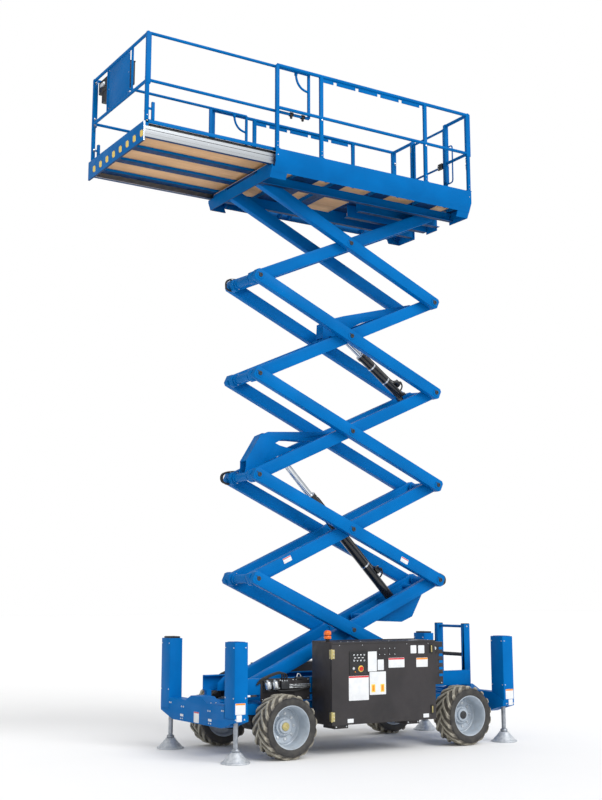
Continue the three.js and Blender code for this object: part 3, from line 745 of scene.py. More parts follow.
# one bar, drawn flat with its length across the tyre, then laid round the crown
def makeLug(hand, half):
    clearSelection()
    bpy.ops.mesh.primitive_cube_add(size=1, location=(0.5, 0, 0))
    lug = bpy.context.object
    bpy.ops.object.transform_apply(location=True, rotation=True, scale=True)
    bpy.ops.object.mode_set(mode="EDIT")
    bpy.ops.mesh.select_all(action="SELECT")
    bpy.ops.mesh.subdivide(number_cuts=5)
    bpy.ops.object.mode_set(mode="OBJECT")
    sweep = math.radians(34)
    for vertex in lug.data.vertices:
        out, wide, tall = vertex.co.x, vertex.co.y, vertex.co.z + 0.5
        across = -12 + out * (half + 8)
        top = tyre["radius"] - 2.5 - 22 * max(0.0, out - 0.86) / 0.14
        radius = (tyre["carcass"] - 14) + tall * (top - tyre["carcass"] + 14)
        width = tyre["lugWidth"] * (0.82 + 0.38 * out) * (1 - 0.22 * tall)
        angle = sweep * (out ** 0.85) + wide * width / tyre["radius"]
        reach = min(across, half - 4 - 10 * tall)
        vertex.co = (radius * mm * math.cos(angle), radius * mm * math.sin(angle), reach * mm * hand)
    only(lug)
    bpy.ops.object.mode_set(mode="EDIT")
    bpy.ops.mesh.select_all(action="SELECT")
    bpy.ops.mesh.normals_make_consistent(inside=False)
    bpy.ops.object.mode_set(mode="OBJECT")
    return lug


rim = {"bead": 224, "outer": 861, "inner": 584, "disc": 690, "studs": 9, "studCircle": 132}


# a pressed steel wheel: rolled rim with bead flanges, dished disc, ring of nuts and a hub cap
def makeRim(endName, sideName, end, side):
    profile = [
        (30, 657), (188, 657), (202, 640), (206, rim["inner"] + 12), (222, rim["inner"]),
        (rim["bead"], rim["inner"]),
        (rim["bead"] - 1, rim["inner"] + 16), (212, rim["inner"] + 30), (212, rim["outer"] - 40),
        (rim["bead"] - 1, rim["outer"] - 14), (rim["bead"], rim["outer"] - 2), (221, rim["outer"]),
        (215, rim["outer"] - 2), (209, rim["outer"] - 16), (200, rim["outer"] - 36), (197, 716), (192, 700),
        (182, 695), (176, 704), (168, 706), (160, 686), (112, 682), (104, 688), (30, 688)]
    disc = lathed("disc", profile, 64)
    disc.data.materials.append(rimEnamel)
    hub = lathed("hub", [(98, 684), (98, 706), (92, 712), (74, 714), (70, 732), (66, 736), (40, 737)], 40)
    hub.data.materials.append(rimEnamel)
    cap = lathed("cap", [(44, 735), (44, 744), (39, 749), (16, 752), (12, 749)], 32)
    cap.data.materials.append(goldPassivate if end > 0 else castIron)
    nut = hexBolt(15, zincPlate)
    nuts = []
    for number in range(rim["studs"]):
        turn = number * 2 * math.pi / rim["studs"]
        spot = Vector((math.cos(turn) * rim["studCircle"] * mm, math.sin(turn) * rim["studCircle"] * mm,
                       684 * mm))
        nuts.append(put(copyOf(nut), spot, alongZ, turn))
    bpy.data.objects.remove(nut)
    capScrew = hexBolt(6, zincPlate)
    for number in range(6):
        turn = (number + 0.5) * math.pi / 3
        spot = Vector((math.cos(turn) * 82 * mm, math.sin(turn) * 82 * mm, 713 * mm))
        nuts.append(put(copyOf(capScrew), spot, alongZ, turn))
    bpy.data.objects.remove(capScrew)
    whole = joined(f"{endName}_{sideName}_wheel_disc", [disc, hub, cap] + nuts)
    put(whole, at(1195 * end, 0, 330), alongY * side)
    return finish(whole, rimEnamel, f"{endName}_{sideName}_wheel", [f"{endName}_{sideName}_rim"], 35)


def makeWheels():
    for endName, end in bothEnds:
        for sideName, side in bothSides:
            makeTyre(endName, sideName, end, side)
            makeRim(endName, sideName, end, side)
    for name in ("front_axle", "rear_axle", "front_left_knuckle", "front_right_knuckle"):
        dressed(name, castIron, 3)
    print("wheels made")


# ---- chassis

post = {"x": 1795, "y": 746, "halfX": 77, "halfY": 107, "top": 1206, "bolts": (650, 1152), "boltInset": 20}


def makeChassis():
    dressed("chassis_frame", blueEnamel, 3)
    for endName, end in bothEnds:
        dressed(f"{endName}_outrigger_frame", blueEnamel, 4)
        for sideName, side in bothSides:
            makeFoot(f"{endName}_{sideName}_outrigger_foot")
        makeOutriggerFittings(endName, end)
    dressed("rear_ladder", blueEnamel, 3)
    dressed("engine_block", castIron, 8)
    for sideName, side in bothSides:
        dressed(f"{sideName}_side_box", charcoalPowder, 4)
        dressed(f"{sideName}_box_door", charcoalPowder, 4)
        makeDoorFittings(sideName, side)
        makeBoxFittings(sideName, side)
        makeHydraulics(sideName, side)
    makeBeacon()
    makeLadderGrip()
    makeEngineDetails()
    print("chassis made")


# a spun dish with a rolled rim, a ball socket under a bolted ring, and the leg's rod
def makeFoot(nodeName):
    low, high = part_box(nodeName)
    foot = Vector(((low.x + high.x) / 2, (low.y + high.y) / 2, 0))
    leg = {"rod": 25, "top": 919.5, "ring": 49.5}
    dish = turnedPart(galvanised, foot, alongZ, [
        (144, 0), (150, 4), (150, 13), (146, 18), (136, 19), (130, 23), (117, 39), (100, 58), (96, 58),
        (62, 100),
        (57, 106), (52, 108), (44, 110)], 56)
    ring = turnedPart(galvanised, foot + alongZ * 106 * mm, alongZ, [(57, 0), (57, 3), (54, 5), (40, 5)], 40)
    socket = turnedPart(drawnSteel, foot + alongZ * 109 * mm, alongZ,
                        [(36, 0), (42, 9), (43, 18), (42, 27), (37, 34), (30, 39), (26, 40)], 36)
    rod = turnedPart(drawnSteel, foot + alongZ * 148 * mm, alongZ, [
        (leg["rod"], 0), (leg["rod"], 6), (leg["rod"] - 2, 8), (leg["rod"] - 2, 11), (leg["rod"], 13),
        (leg["rod"], leg["top"] - 148)], 36)
    parts = [dish, ring, socket, rod]
    for number in range(6):
        turn = number * math.pi / 3
        reach = Vector((math.cos(turn), math.sin(turn), 0)) * leg["ring"]
        parts += bolts([foot + (reach + alongZ * 111) * mm], alongZ, 5)
    body = frame["nodes"][nodeName]["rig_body"]
    finish(joined(nodeName + "_finished", parts), None, body, [nodeName], 32)


# two stacked amber lenses with a dark ring between them, on a rubber foot
def makeBeacon():
    foot = middle("beacon")
    foot.z = 1185.4 * mm
    parts = [turnedPart(amberLens, foot + alongZ * 29 * mm, alongZ,
                        [(30, 0), (38, 1), (40, 4), (40, 28), (38, 33), (31, 36)], 40),
             turnedPart(amberLens, foot + alongZ * 69 * mm, alongZ,
                        [(31, 0), (38, 2), (40, 6), (40, 32), (36, 40), (27, 48), (14, 53), (6, 54)], 40),
             turnedPart(blackAbs, foot, alongZ, [(22, 0), (22, 22), (28, 26), (28, 30), (20, 30)], 32),
             turnedPart(blackAbs, foot + alongZ * 62 * mm, alongZ, [(28, 0), (34, 2), (34, 6), (28, 8)], 32)]
    finish(joined("beacon_finished", parts), None, frame["nodes"]["beacon"]["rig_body"], ["beacon"], 32)


# guide-pad screws on the posts, a cap on each post, frame bolts, blank plates and the leg seals
def makeOutriggerFittings(endName, end):
    parts = []
    outward = alongX * end
    for sideName, side in bothSides:
        for height in post["bolts"]:
            for across in (-1, 1):
                y = post["y"] * side + across * (post["halfY"] - post["boltInset"])
                parts += bolts([at((post["x"] + post["halfX"]) * end, y, height)], outward, 7)
                parts += bolts([at((post["x"] - post["halfX"]) * end, y, height)], -outward, 7)
            x = (post["x"] - 52) * end
            parts += bolts([at(x, (post["y"] + post["halfY"]) * side, height)], alongY * side, 6)
        capFinish = blackAbs if side < 0 else blueEnamel
        rise = 20 if side < 0 else 5
        parts.append(bar(capFinish, ((post["x"] - 58) * end, (post["x"] + 58) * end),
                         ((post["y"] - 86) * side, (post["y"] + 86) * side),
                         (post["top"], post["top"] + rise), 2))
        parts.append(turnedPart(blackAbs, at(post["x"] * end, post["y"] * side, 440), -alongZ,
                                [(60, 0), (60, 9), (48, 13), (30, 13), (28, 2)], 28))
        outwardSide = alongY * side
        outer = (post["y"] + post["halfY"]) * side
        parts.append(film(whiteFilm, at((post["x"] + 8) * end, outer, 545), 118, 112, outwardSide))
        parts.append(film(orangeFilm, at((post["x"] + 8) * end, outer + 0.6 * side, 592), 112, 16, outwardSide,
                          1.4, 3))
        parts.append(film(whiteFilm, at((post["x"] + 22) * end, outer - 3 * side, 452), 62, 66, outwardSide, 5))
        parts += bolts([at((post["x"] - 40) * end, 850 * side, 440),
                        at((post["x"] + 62) * end, 850 * side, 440)], outwardSide, 9)
    face = (post["x"] + 75) * end
    for y in (-622, -590, -330, -285, 285, 330, 590, 622):
        z = 488 if abs(y) < 400 else 512
        parts += bolts([at(face, y, z)], outward, 9)
    for y in (-325, 325):
        parts += bolts([at(face, y - 20, 362), at(face, y + 20, 362)], outward, 8)
        parts.append(film(zincPlate, at(face, y, 396), 74, 26, outward, 2, 4))
        top = [at((post["x"] + dx) * end, y * 0.8, 560) for dx in (-30, 30)]
        parts += bolts(top, alongZ, 10)
    parts.append(film(whiteFilm, at(face, 19, 400), 118, 112, outward))
    parts.append(film(redFilm, at(face + 0.6 * end, 19, 449), 112, 12, outward, 1.4, 3))
    finish(joined(f"{endName}_outrigger_fittings", parts), None, "chassis", sharp=32)


# the outer face of a door: y in the machine, and the hinge, latch and panel places along it
door = {"face": 870, "edge": 700, "latchX": -642,
        "left": {"hinges": (410, 1060), "latches": (430, 1090), "top": 1185, "vent": 1075},
        "right": {"hinges": (410, 790), "latches": (430, 800), "top": 900, "vent": 780}}
doorPlates = (
    (110, 229, 867, 1078, None), (17, 100, 876, 989, None), (221, 482, 569, 826, "red"),
    (-9, 209, 619, 862, None), (-265, -47, 898, 1003, "red"), (-590, -430, 894, 995, "orange"),
    (-433, -353, 1045, 1132, None), (-545, -459, 1042, 1130, None),
    (423, 501, 340, 382, None), (-596, -517, 345, 387, None))


# blank plates, hinges, latches and vents on a door, and the ground control panel on the left one
def makeDoorFittings(sideName, side):
    outward = alongY * side
    bands = {"red": redFilm, "orange": orangeFilm}
    parts = []
    own = door[sideName]

    def spot(x, z, out=0.0):
        return at(x, (door["face"] + out) * side, z)

    shown = [sheet for sheet in doorPlates if sheet[3] < own["top"] - 40]
    for x0, x1, z0, z1, band in shown:
        parts.append(film(whiteFilm, spot((x0 + x1) / 2, (z0 + z1) / 2), x1 - x0, z1 - z0, outward))
        if band:
            parts.append(film(bands[band], spot((x0 + x1) / 2, z1 - 11, 0.7), x1 - x0 - 4, 17, outward, 1.0,
                              3))
    if side > 0:
        for x in (38, 160):
            parts.append(film(yellowFilm, spot(x, 688, 0.7), 52, 84, outward, 1.0, 3))
            parts.append(film(orangeFilm, spot(x, 688, 1.2), 28, 62, outward, 1.0, 3))
        parts += makeControlPanel(spot, outward)
    for x in (-98, 40):
        parts.append(film(charcoalPowder, spot(x, own["vent"]), 92, 84, outward, 3.0, 5))
        parts += bolts([spot(x + dx, own["vent"] + dz, 3) for dx in (-35, 35) for dz in (-32, 32)], outward,
                       4.5)
    for z in own["hinges"]:
        x = door["edge"]
        parts.append(bar(goldPassivate, (x - 36, x + 1), ((door["face"]) * side, (door["face"] + 4) * side),
                         (z - 48, z + 48), 1))
        parts.append(bar(goldPassivate, (x, x + 4), ((door["face"] - 44) * side, (door["face"] + 1) * side),
                         (z - 48, z + 48), 1))
        parts.append(turnedPart(goldPassivate, at(x + 5, (door["face"] + 3) * side, z - 54), alongZ,
                                [(5, 0), (7, 2), (7, 34), (6, 35), (7, 36), (7, 71), (6, 72), (7, 73),
                                 (7, 106), (5, 108)]))
        parts += bolts([spot(x - 24, z + dz, 4) for dz in (-36, 0, 36)], outward, 4.5)
        parts += bolts([at(x + 4, (door["face"] - 30) * side, z + dz) for dz in (-36, 36)], alongX, 4.5)
    for z in own["latches"]:
        x = door["latchX"]
        parts.append(bar(blackAbs, (x - 20, x + 20), (door["face"] * side, (door["face"] + 7) * side),
                         (z - 48, z + 48), 2, pressed=outward, rim=5, depth=3))
        parts.append(bar(goldPassivate, (x - 7, x + 7),
                         ((door["face"] + 3) * side, (door["face"] + 12) * side),
                         (z - 36, z + 36), 2))
    parts.append(bar(charcoalPowder, (-694, 694), (door["face"] * side, (door["face"] + 4) * side),
                     (own["top"] - 21, own["top"] - 7), 1.5))
    parts += bolts([spot(x, own["top"] - 35) for x in (-600, -300, 300, 600)], outward, 4)
    finish(joined(f"{sideName}_door_fittings", parts), None, f"{sideName}_box_door", sharp=32)


# recessed panel with toggles, a key switch, small lamps and a red push button on a yellow ring
def makeControlPanel(spot, outward):
    panel = {"x": (237, 475), "z": (835, 1088)}
    parts = [block("panel", spot(panel["x"][0], panel["z"][0]), spot(panel["x"][1], panel["z"][1], 7), 2,
                   pressed=outward, rim=9, depth=4)]
    parts[0].data.materials.append(blackAbs)
    for x in (280, 325, 370, 415):
        for z in (985, 1045):
            parts.append(turnedPart(zincPlate, spot(x, z, 3), outward, [(9, 0), (9, 3), (6, 4), (6, 7)], 12))
            parts.append(turnedPart(zincPlate, spot(x, z, 8), (outward + alongZ * 0.5).normalized(),
                                    [(2.4, 0), (3.4, 10), (3.4, 12), (1.5, 13)], 10))
    for x in (300, 350, 400):
        parts.append(film(whiteFilm, spot(x, 1016, 3), 26, 8, outward, 1.0, 2))
    parts.append(turnedPart(zincPlate, spot(420, 905, 3), outward,
                            [(15, 0), (15, 5), (12, 8), (4, 8), (3, 6)]))
    parts.append(turnedPart(orangeFilm, spot(400, 868, 3), outward, [(6, 0), (6, 4), (3, 6)], 12))
    parts.append(turnedPart(yellowFilm, spot(325, 900, 3), outward, [(34, 0), (34, 3), (22, 3.5)], 32))
    parts.append(turnedPart(redAbs, spot(325, 900, 6), outward,
                            [(13, 0), (13, 4), (23, 6), (24, 11), (20, 15), (8, 17)], 32))
    return parts


# lid screws, the cooler's louvres and cap, and the foot pads' bolts, all fixed to the chassis
def makeBoxFittings(sideName, side):
    parts = []
    top = door[sideName]["top"]
    parts += bolts([at(x, 835 * side, top) for x in (560, 470, 395, 300, -80, -360, -620)], alongZ, 6)
    parts.append(bar(charcoalPowder, (-700, 700), (481 * side, 500 * side), (top, top + 7), 2))
    parts.append(film(zincPlate, at(-440, 800 * side, top), 110, 40, alongZ, 3, 5))
    # louvre blades lean out over slots that show the painted core
    for number in range(5 if side > 0 else 1):
        z = 778 + number * 74
        parts.append(bar(blueEnamel, (-858, -806), (798 * side, 803 * side), (z, z + 32), 1))
        blade = bar(charcoalPowder, (-862, -802), (800 * side, 806 * side), (z + 30, z + 40), 1.5)
        parts.append(blade)
        parts.append(bar(charcoalPowder, (-869, -864), (620 * side, 780 * side), (z, z + 10), 1.5))
    cap = at(-742, 799 * side, top - 95)
    parts.append(turnedPart(blackAbs, cap, alongY * side, [(52, 0), (52, 14), (47, 18), (24, 18), (21, 14)],
                            32))
    parts.append(turnedPart(zincPlate, cap + alongY * side * 13 * mm, alongY * side,
                            [(18, 0), (18, 5), (12, 8)], 20))
    for x in (-840, -720):
        parts += bolts([at(x, 800 * side, 705)], alongY * side, 6)
    for x in (-440, 520):
        parts += bolts([at(x + dx, 780 * side, 296) for dx in (-66, 66)], alongY * side, 8)
    finish(joined(f"{sideName}_box_fittings", parts), None, "chassis", sharp=32)


# steel pipes along the frame, an accumulator pair and a valve block ahead of the box, with their hoses
def makeHydraulics(sideName, side):
    outward = alongY * side
    y = 442 * side
    parts = [bar(castIron, (1130, 1300), (y + 6 * side, y + 24 * side), (664, 790), 3)]
    # folded covers over the rail, in three lengths with a lapped joint
    for number, (near, far) in enumerate(((708, 905), (901, 1110), (1106, 1330))):
        lap = 2 * (number % 2)
        parts.append(bar(charcoalPowder, (near, far), (y, y + (5 + lap) * side), (566, 803), 1.5))
        parts += bolts([at(x, y + (5 + lap) * side, z) for x in (near + 22, far - 22) for z in (588, 782)],
                       outward, 6)
    for x in (1165, 1255):
        parts.append(turnedPart(zincPlate, at(x, 500 * side, 690), (alongZ + alongX * 0.25).normalized(),
                                [(16, 0), (34, 12), (36, 22), (36, 74), (30, 86), (14, 92), (14, 104),
                                 (8, 108)], 24))
        parts.append(turnedPart(castIron, at(x + 6, 464 * side, 724), outward,
                                [(10, 0), (10, 10), (16, 14), (16, 22)], 6))
    parts.append(bar(castIron, (990, 1090), (y + 7 * side, y + 44 * side), (690, 770), 4))
    for x in (1010, 1040, 1070):
        parts.append(turnedPart(zincPlate, at(x, 464 * side, 770), alongZ,
                                [(11, 0), (11, 12), (8, 14), (8, 22)], 6))
    for z, reach in ((700, 1140), (716, 1000), (732, 1000)):
        parts.append(pipe(zincPlate, [(706, 458 * side, z), (reach, 458 * side, z)], 6))
    for number, x in enumerate((1010, 1040, 1070)):
        parts.append(pipe(hoseRubber, [(x, 464 * side, 786), (x + 10, 468 * side, 850 + 12 * number),
                                       (x + 120, 472 * side, 858), (1300 + 20 * number, 466 * side, 800),
                                       (1380, 452 * side, 744)], 9, 60))
    parts.append(pipe(hoseRubber, [(1150, 470 * side, 690), (1100, 476 * side, 670), (900, 470 * side, 668),
                                   (720, 466 * side, 700)], 11, 60))
    # a bright lifting eye on the frame beside the box
    parts.append(bar(castIron, (800, 900), (446 * side, 470 * side), (790, 812), 3))
    parts.append(pipe(zincPlate, [(830, 460 * side, 808), (842, 460 * side, 838), (870, 460 * side, 848),
                                  (884, 460 * side, 812)], 7, 14))
    for x in (-1500, -1195, 1195, 1500):
        parts += bolts([at(x + dx, 385 * side, 488) for dx in (-34, 34)], outward, 11)
    finish(joined(f"{sideName}_frame_hydraulics", parts), None, "chassis", sharp=32)


def makeLadderGrip():
    sleeve = lathed("sleeve", [(19, 0), (22, 4)] + [(22 - (n % 2) * 1.6, 10 + n * 10) for n in range(42)]
                    + [(22, 434), (19, 438)], 20)
    sleeve.data.materials.append(blackAbs)
    put(sleeve, at(-1655, -219, 975), alongY)
    parts = [sleeve]
    for side in (1, -1):
        parts.append(bar(blackAbs, (-1698, -1612), (227 * side, 283 * side), (1340, 1346), 2))
        parts += bolts([at(-1610, 255 * side, z) for z in (662, 718)], alongX, 8)
        parts += bolts([at(-1655, 285 * side, z) for z in (640, 1310)], alongY * side, 9)
    finish(joined("ladder_grip_and_bolts", parts), None, "chassis", sharp=32)


# the engine's block is seen only with its door open: cover, fins, flywheel housing and an air filter
def makeEngineDetails():
    parts = [bar(castIron, (-360, 120), (-740, -600), (830, 864), 8)]
    for number in range(7):
        x = -340 + number * 66
        parts.append(bar(castIron, (x, x + 12), (-806, -790), (480, 790), 2))
    parts.append(turnedPart(castIron, at(381, -660, 620), alongX,
                            [(96, 0), (96, 10), (84, 12), (84, 22), (30, 24)], 32))
    parts.append(turnedPart(blackAbs, at(560, -670, 470), alongZ,
                            [(66, 0), (74, 6), (74, 60), (76, 62), (76, 70), (74, 72), (74, 210), (64, 220),
                             (24, 222)], 32))
    parts.append(pipe(hoseRubber, [(560, -670, 690), (560, -670, 790), (470, -670, 806), (378, -670, 800)],
                      22, 50))
    for x in (-300, -120, 60):
        parts += bolts([at(x, -670, 864)], alongZ, 9)
    finish(joined("engine_details", parts), None, "chassis", sharp=32)


# ---- scissor pack

# the pivots that the arms turn on: x, the height of the lowest one and the step between levels
pivots = {"front": 1304, "cross": 50.2, "rear": -1203.7, "bottom": 726.5, "step": 1136.1, "outer": 355,
          "inner": 180}
armTurn = math.radians(24.373)


def pivotHeight(level):
    return pivots["bottom"] + pivots["step"] * level


def makeScissors():
    for level in range(1, 6):
        dressed(f"inner_scissor_frame_{level}", blueEnamel, 2.5)
        for sideName, side in bothSides:
            dressed(f"{sideName}_outer_arm_{level}", blueEnamel, 4)
        makePinHeads(level)
        makeTubeCollars(level)
    makeArmPlates()
    makeNodeHoses()
    for name, length in (("lower", 1854), ("upper", 804)):
        dressed(f"{name}_cylinder_barrel", barrelBlack, 1.5)
        dressed(f"{name}_cylinder_rod", hardChrome, 0, sharp=40)
        makeCylinderFittings(name, length)
    print("scissor pack made")


# a welded boss, the pin's own end and a keeper bolt; the lowest level's are thin, to pass the chassis rails
def pinHead(place, direction, thin):
    rise = 0.45 if thin else 1.0
    boss = turnedPart(blueEnamel, place, direction,
                      [(48, 0), (48, 4 * rise), (44, 6 * rise), (27, 6 * rise)], 32)
    pin = turnedPart(castIron, place, direction,
                     [(25, 4 * rise), (25, 13 * rise), (22, 16 * rise), (11, 16 * rise), (9, 10 * rise)], 28)
    side = 1 if direction.y > 0 else -1
    keeper = bolts([place + Vector((0.036 * math.cos(0.8), 0,
                                    0.036 * math.sin(0.8))) + direction * 5 * rise * mm],
                   direction, 6 if thin else 7, castIron)
    return [boss, pin] + keeper


def makePinHeads(level):
    for sideName, side in bothSides:
        y = pivots["outer"] * side
        parts = []
        places = [(pivots["cross"], pivotHeight(level - 0.5))]
        if level < 5:
            places.append((pivots["front"], pivotHeight(level)))
        if level > 1:
            places.append((pivots["rear"], pivotHeight(level - 1)))
        for x, z in places:
            parts += pinHead(at(x, y, z), alongY * side, level == 1)
        finish(joined(f"{sideName}_pin_heads_{level}", parts), None, f"outer_scissor_{level}", sharp=32)


# bolted collars round the tubes that tie the two inner arms together
def makeTubeCollars(level):
    parts = []
    ends = [(pivots["front"], pivotHeight(level - 1))]
    if level < 5:
        ends.append((pivots["rear"], pivotHeight(level)))
    for x, z in ends:
        for y in (-146, 146):
            place = at(x, y - 14, z)
            parts.append(turnedPart(blueEnamel, place, alongY,
                                    [(49, 0), (58, 1), (60, 4), (60, 24), (58, 27), (49, 28)], 28))
            parts += bolts([at(x, y, z + 59)], alongZ, 7)
            parts += bolts([at(x, y, z - 59)], -alongZ, 7)
    finish(joined(f"tube_collars_{level}", parts), None, f"inner_scissor_{level}", sharp=32)


# small blank plates on the arms' outer faces
def makeArmPlates():
    spots = (("inner_scissor_2", 886, 266, 2074, -1), ("outer_scissor_2", -675, 355.4, 2083, 1))
    for body, x, y, z, lean in spots:
        parts = []
        for side in (1, -1):
            back = film(whiteFilm, Vector((0, 0, 0)), 112, 58, alongY * side)
            stripe = film(redFilm, Vector((0, 0.6 * mm * side, 21 * mm)), 106, 10, alongY * side, 1.2, 3)
            sheet = joined("sheet", [back, stripe])
            # turned to lie along its arm
            sheet.data.transform(Matrix.Translation(at(x, y * side, z)) @ Matrix.Rotation(-armTurn * lean, 4,
                    "Y"))
            parts.append(sheet)
        finish(joined(f"{body}_blank_plates", parts), None, body, sharp=32)


# hose loops round the ends of some nodes, held by clips on the outer arm: (level, x, way, hoses, reach, body)
nodeHoses = (
    (1, pivots["rear"], -1, 2, 150, "outer_scissor_2"), (2, pivots["front"], 1, 2, 150, "outer_scissor_2"),
    (4, pivots["front"], 1, 1, 112, "outer_scissor_4"))


def makeNodeHoses():
    for level, x, way, number, reach, body in nodeHoses:
        z = pivotHeight(level)
        side = -way
        y = 262 * side
        loop = []
        for hose in range(number):
            far = x + way * (reach - 26 * hose)
            offset = y + 16 * hose * side
            loop.append(pipe(hoseRubber, [
                (x - way * 60, offset, z + 84), (x + way * 60, offset, z + 74), (far, offset, z + 40),
                (far, offset, z - 40), (x + way * 66, offset, z - 66), (x + way * 30, offset, z - 60)], 11,
                70))
        for dx in (-60, 30):
            loop.append(bar(zincPlate, (x + dx * way - 14, x + dx * way + 14), (y - 16 * side, y + 30 * side),
                            (z + 68, z + 76), 2))
        finish(joined(f"node_hoses_{level}", loop), None, body, sharp=40)


# (x, z) of the base pin, (x, z) of the rod's eye, the tube's radius, and how far up it the valve block stands
cylinderLines = {"lower": ((-880.0, 1493.0), (1025.0, 3455.0), 54, 600),
                 "upper": ((-960.0, 4085.0), (130.0, 4893.0), 52, 190)}


# a gland with its bolts, a port block with unions, and the pipe that feeds the gland end
def makeCylinderFittings(name, length):
    (x0, z0), (x1, z1), radius, port = cylinderLines[name]
    base = at(x0, 0, z0)
    along = (at(x1, 0, z1) - base).normalized()
    out = Vector((-along.z, 0, along.x))
    parts = []
    gland = radius + 3
    parts.append(turnedPart(barrelBlack, base + along * (length - 52) * mm, along,
                            [(radius, 0), (gland + 4, 3), (gland + 4, 20), (radius, 23)], 32))
    parts.append(turnedPart(zincPlate, base + along * (length + 0.5) * mm, along,
                            [(gland, 0), (gland, 5), (gland - 6, 8), (44, 8)], 32))
    for number in range(6):
        turn = Matrix.Rotation(number * math.pi / 3, 3, along)
        spot = base + along * (length + 7) * mm + turn @ (out * 50 * mm)
        parts += bolts([spot], along, 4)
    valveBlock = block("valve block", (-0.045, -0.036, 0), (0.045, 0.036, 0.062), 3)
    valveBlock.data.materials.append(barrelBlack)
    put(valveBlock, base + along * port * mm + out * (radius - 4) * mm, out)
    parts.append(valveBlock)
    for shift in (-24, 20):
        parts.append(turnedPart(zincPlate, base + along * (port + shift) * mm + out * (radius + 57) * mm, out,
                                [(11, 0), (11, 10), (8, 12), (8, 24)], 6))
    feed = [base + along * (port + 42) * mm + out * (radius + 30) * mm,
            base + along * (port + 80) * mm + out * (radius + 12) * mm,
            base + along * (length - 90) * mm + out * (radius + 12) * mm,
            base + along * (length - 60) * mm + out * (radius - 4) * mm]
    line = tube("feed pipe", feed, 8, 30)
    line.data.materials.append(barrelBlack)
    parts.append(line)
    loop = [base + along * (port - 24) * mm + out * (radius + 76) * mm,
            base + along * (port - 40) * mm + out * (radius + 96) * mm,
            base + along * (port - 86) * mm + out * (radius + 70) * mm,
            base + along * (port - 98) * mm + out * (radius + 30) * mm,
            base + along * (port - 98) * mm + out * (radius - 6) * mm]
    hose = tube("port hose", loop, 10, 40)
    hose.data.materials.append(hoseRubber)
    parts.append(hose)
    for share in (0.4, 0.72):
        parts.append(turnedPart(zincPlate, base + along * length * share * mm, along,
                                [(radius - 1, 0), (radius + 2.5, 1), (radius + 2.5, 20), (radius - 1, 21)],
                                32))
    finish(joined(f"{name}_cylinder_fittings", parts), None, f"{name}_barrel", sharp=32)


# ---- platform

# rails of the main deck and of the extension, in machine millimetres
rails = {"mainY": 774, "top": 7637, "extensionY": 730, "gateX": -1444}


def makePlatform():
    # the frame's faces that look down take the dark navy as painted shade
    dressed("platform_frame", blueEnamel, 0, [(paintedUndersideShade, lambda c, n: n.z < -0.8)])
    dressed("main_deck", plywood, 1, [(phenolic, lambda c, n: n.z > 0.9)])
    dressed("rear_toe_board", blueEnamel, 2)
    for sideName, side in bothSides:
        dressed(f"{sideName}_guardrail", blueEnamel, 2, sharp=50)
        makeNotchedPlate(sideName, side)
        makePostDetails(sideName, side)
    dressed("entry_gate", blueEnamel, 2, sharp=50)
    makeGateFittings()
    web = 700 * mm
    # the extension frame's faces that look down take the dark navy as painted shade, and the channel's faces
    # take aluminium
    dressed("extension_frame", blueEnamel, 1.5, [
        (paintedUndersideShade, lambda c, n: n.z < -0.8),
        (aluminium, lambda c, n: abs(c.y) > web and c.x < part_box("extension_frame")[1].x - 25 * mm)])
    dressed("extension_deck", plywood, 1, [(phenolic, lambda c, n: n.z > 0.9)])
    dressed("extension_guardrail", blueEnamel, 2, sharp=50)
    dressed("front_panel", blueEnamel, 1)
    dressed("manual_box", blackAbs, 6)
    dressed("platform_control_box", blackAbs, 8)
    makeHazardSquares()
    makeExtensionFittings()
    makeConsole()
    print("platform made")


# a plate under the top rail with square notches that the mid-deck lock drops into
def makeNotchedPlate(sideName, side):
    notched = {"from": -748, "to": 736, "notches": (552, 240, -80, -398, -713), "wide": 46, "deep": 36,
               "low": 7570}
    outline = [(notched["from"], 7626), (notched["from"], notched["low"])]
    for x in reversed(notched["notches"]):
        half = notched["wide"] / 2
        outline += [(x - half, notched["low"]), (x - half, notched["low"] + notched["deep"]),
                    (x + half, notched["low"] + notched["deep"]), (x + half, notched["low"])]
    outline += [(notched["to"], notched["low"]), (notched["to"], 7626)]
    piece = plate("notched", outline, 6, 0.8)
    piece.data.materials.append(blueEnamel)
    put(piece, at(0, rails["mainY"] * side, 0), -alongY)
    finish(joined(f"{sideName}_notched_plate", [piece]), None, "platform", sharp=32)


# bolts at the posts' feet, hinge pins with rings, and the caps on the folding posts
def makePostDetails(sideName, side):
    outward = alongY * side
    parts = []
    for x in (1344, 748, -770, -1444):
        y = (rails["mainY"] + 16) * side
        parts.append(bar(blueEnamel, (x - 34, x + 34),
                         ((rails["mainY"] - 21) * side, (rails["mainY"] + 21) * side),
                         (6635.5, 6643), 2))
        parts += bolts([at(x, y, z) for z in (6668, 6712)], outward, 5.5)
    for x in (748, -770):
        parts.append(turnedPart(zincPlate, at(x, (rails["mainY"] + 16) * side, 7094), outward,
                                [(7, 0), (7, 5), (11, 7), (11, 10), (5, 12)], 14))
    for z in (7470, 7076, 6990):
        parts += hingePin(at(rails["gateX"], (rails["mainY"] - 20) * side, z), -outward)
    parts += bolts([at(x, 795 * side, 6560) for x in (1340, -1440)], outward, 6)
    parts.append(bar(blueEnamel, (1326, 1362), ((rails["mainY"] + 15) * side, (rails["mainY"] + 19) * side),
                     (6660, 7640), 1.5))
    finish(joined(f"{sideName}_post_details", parts), None, "platform", sharp=32)


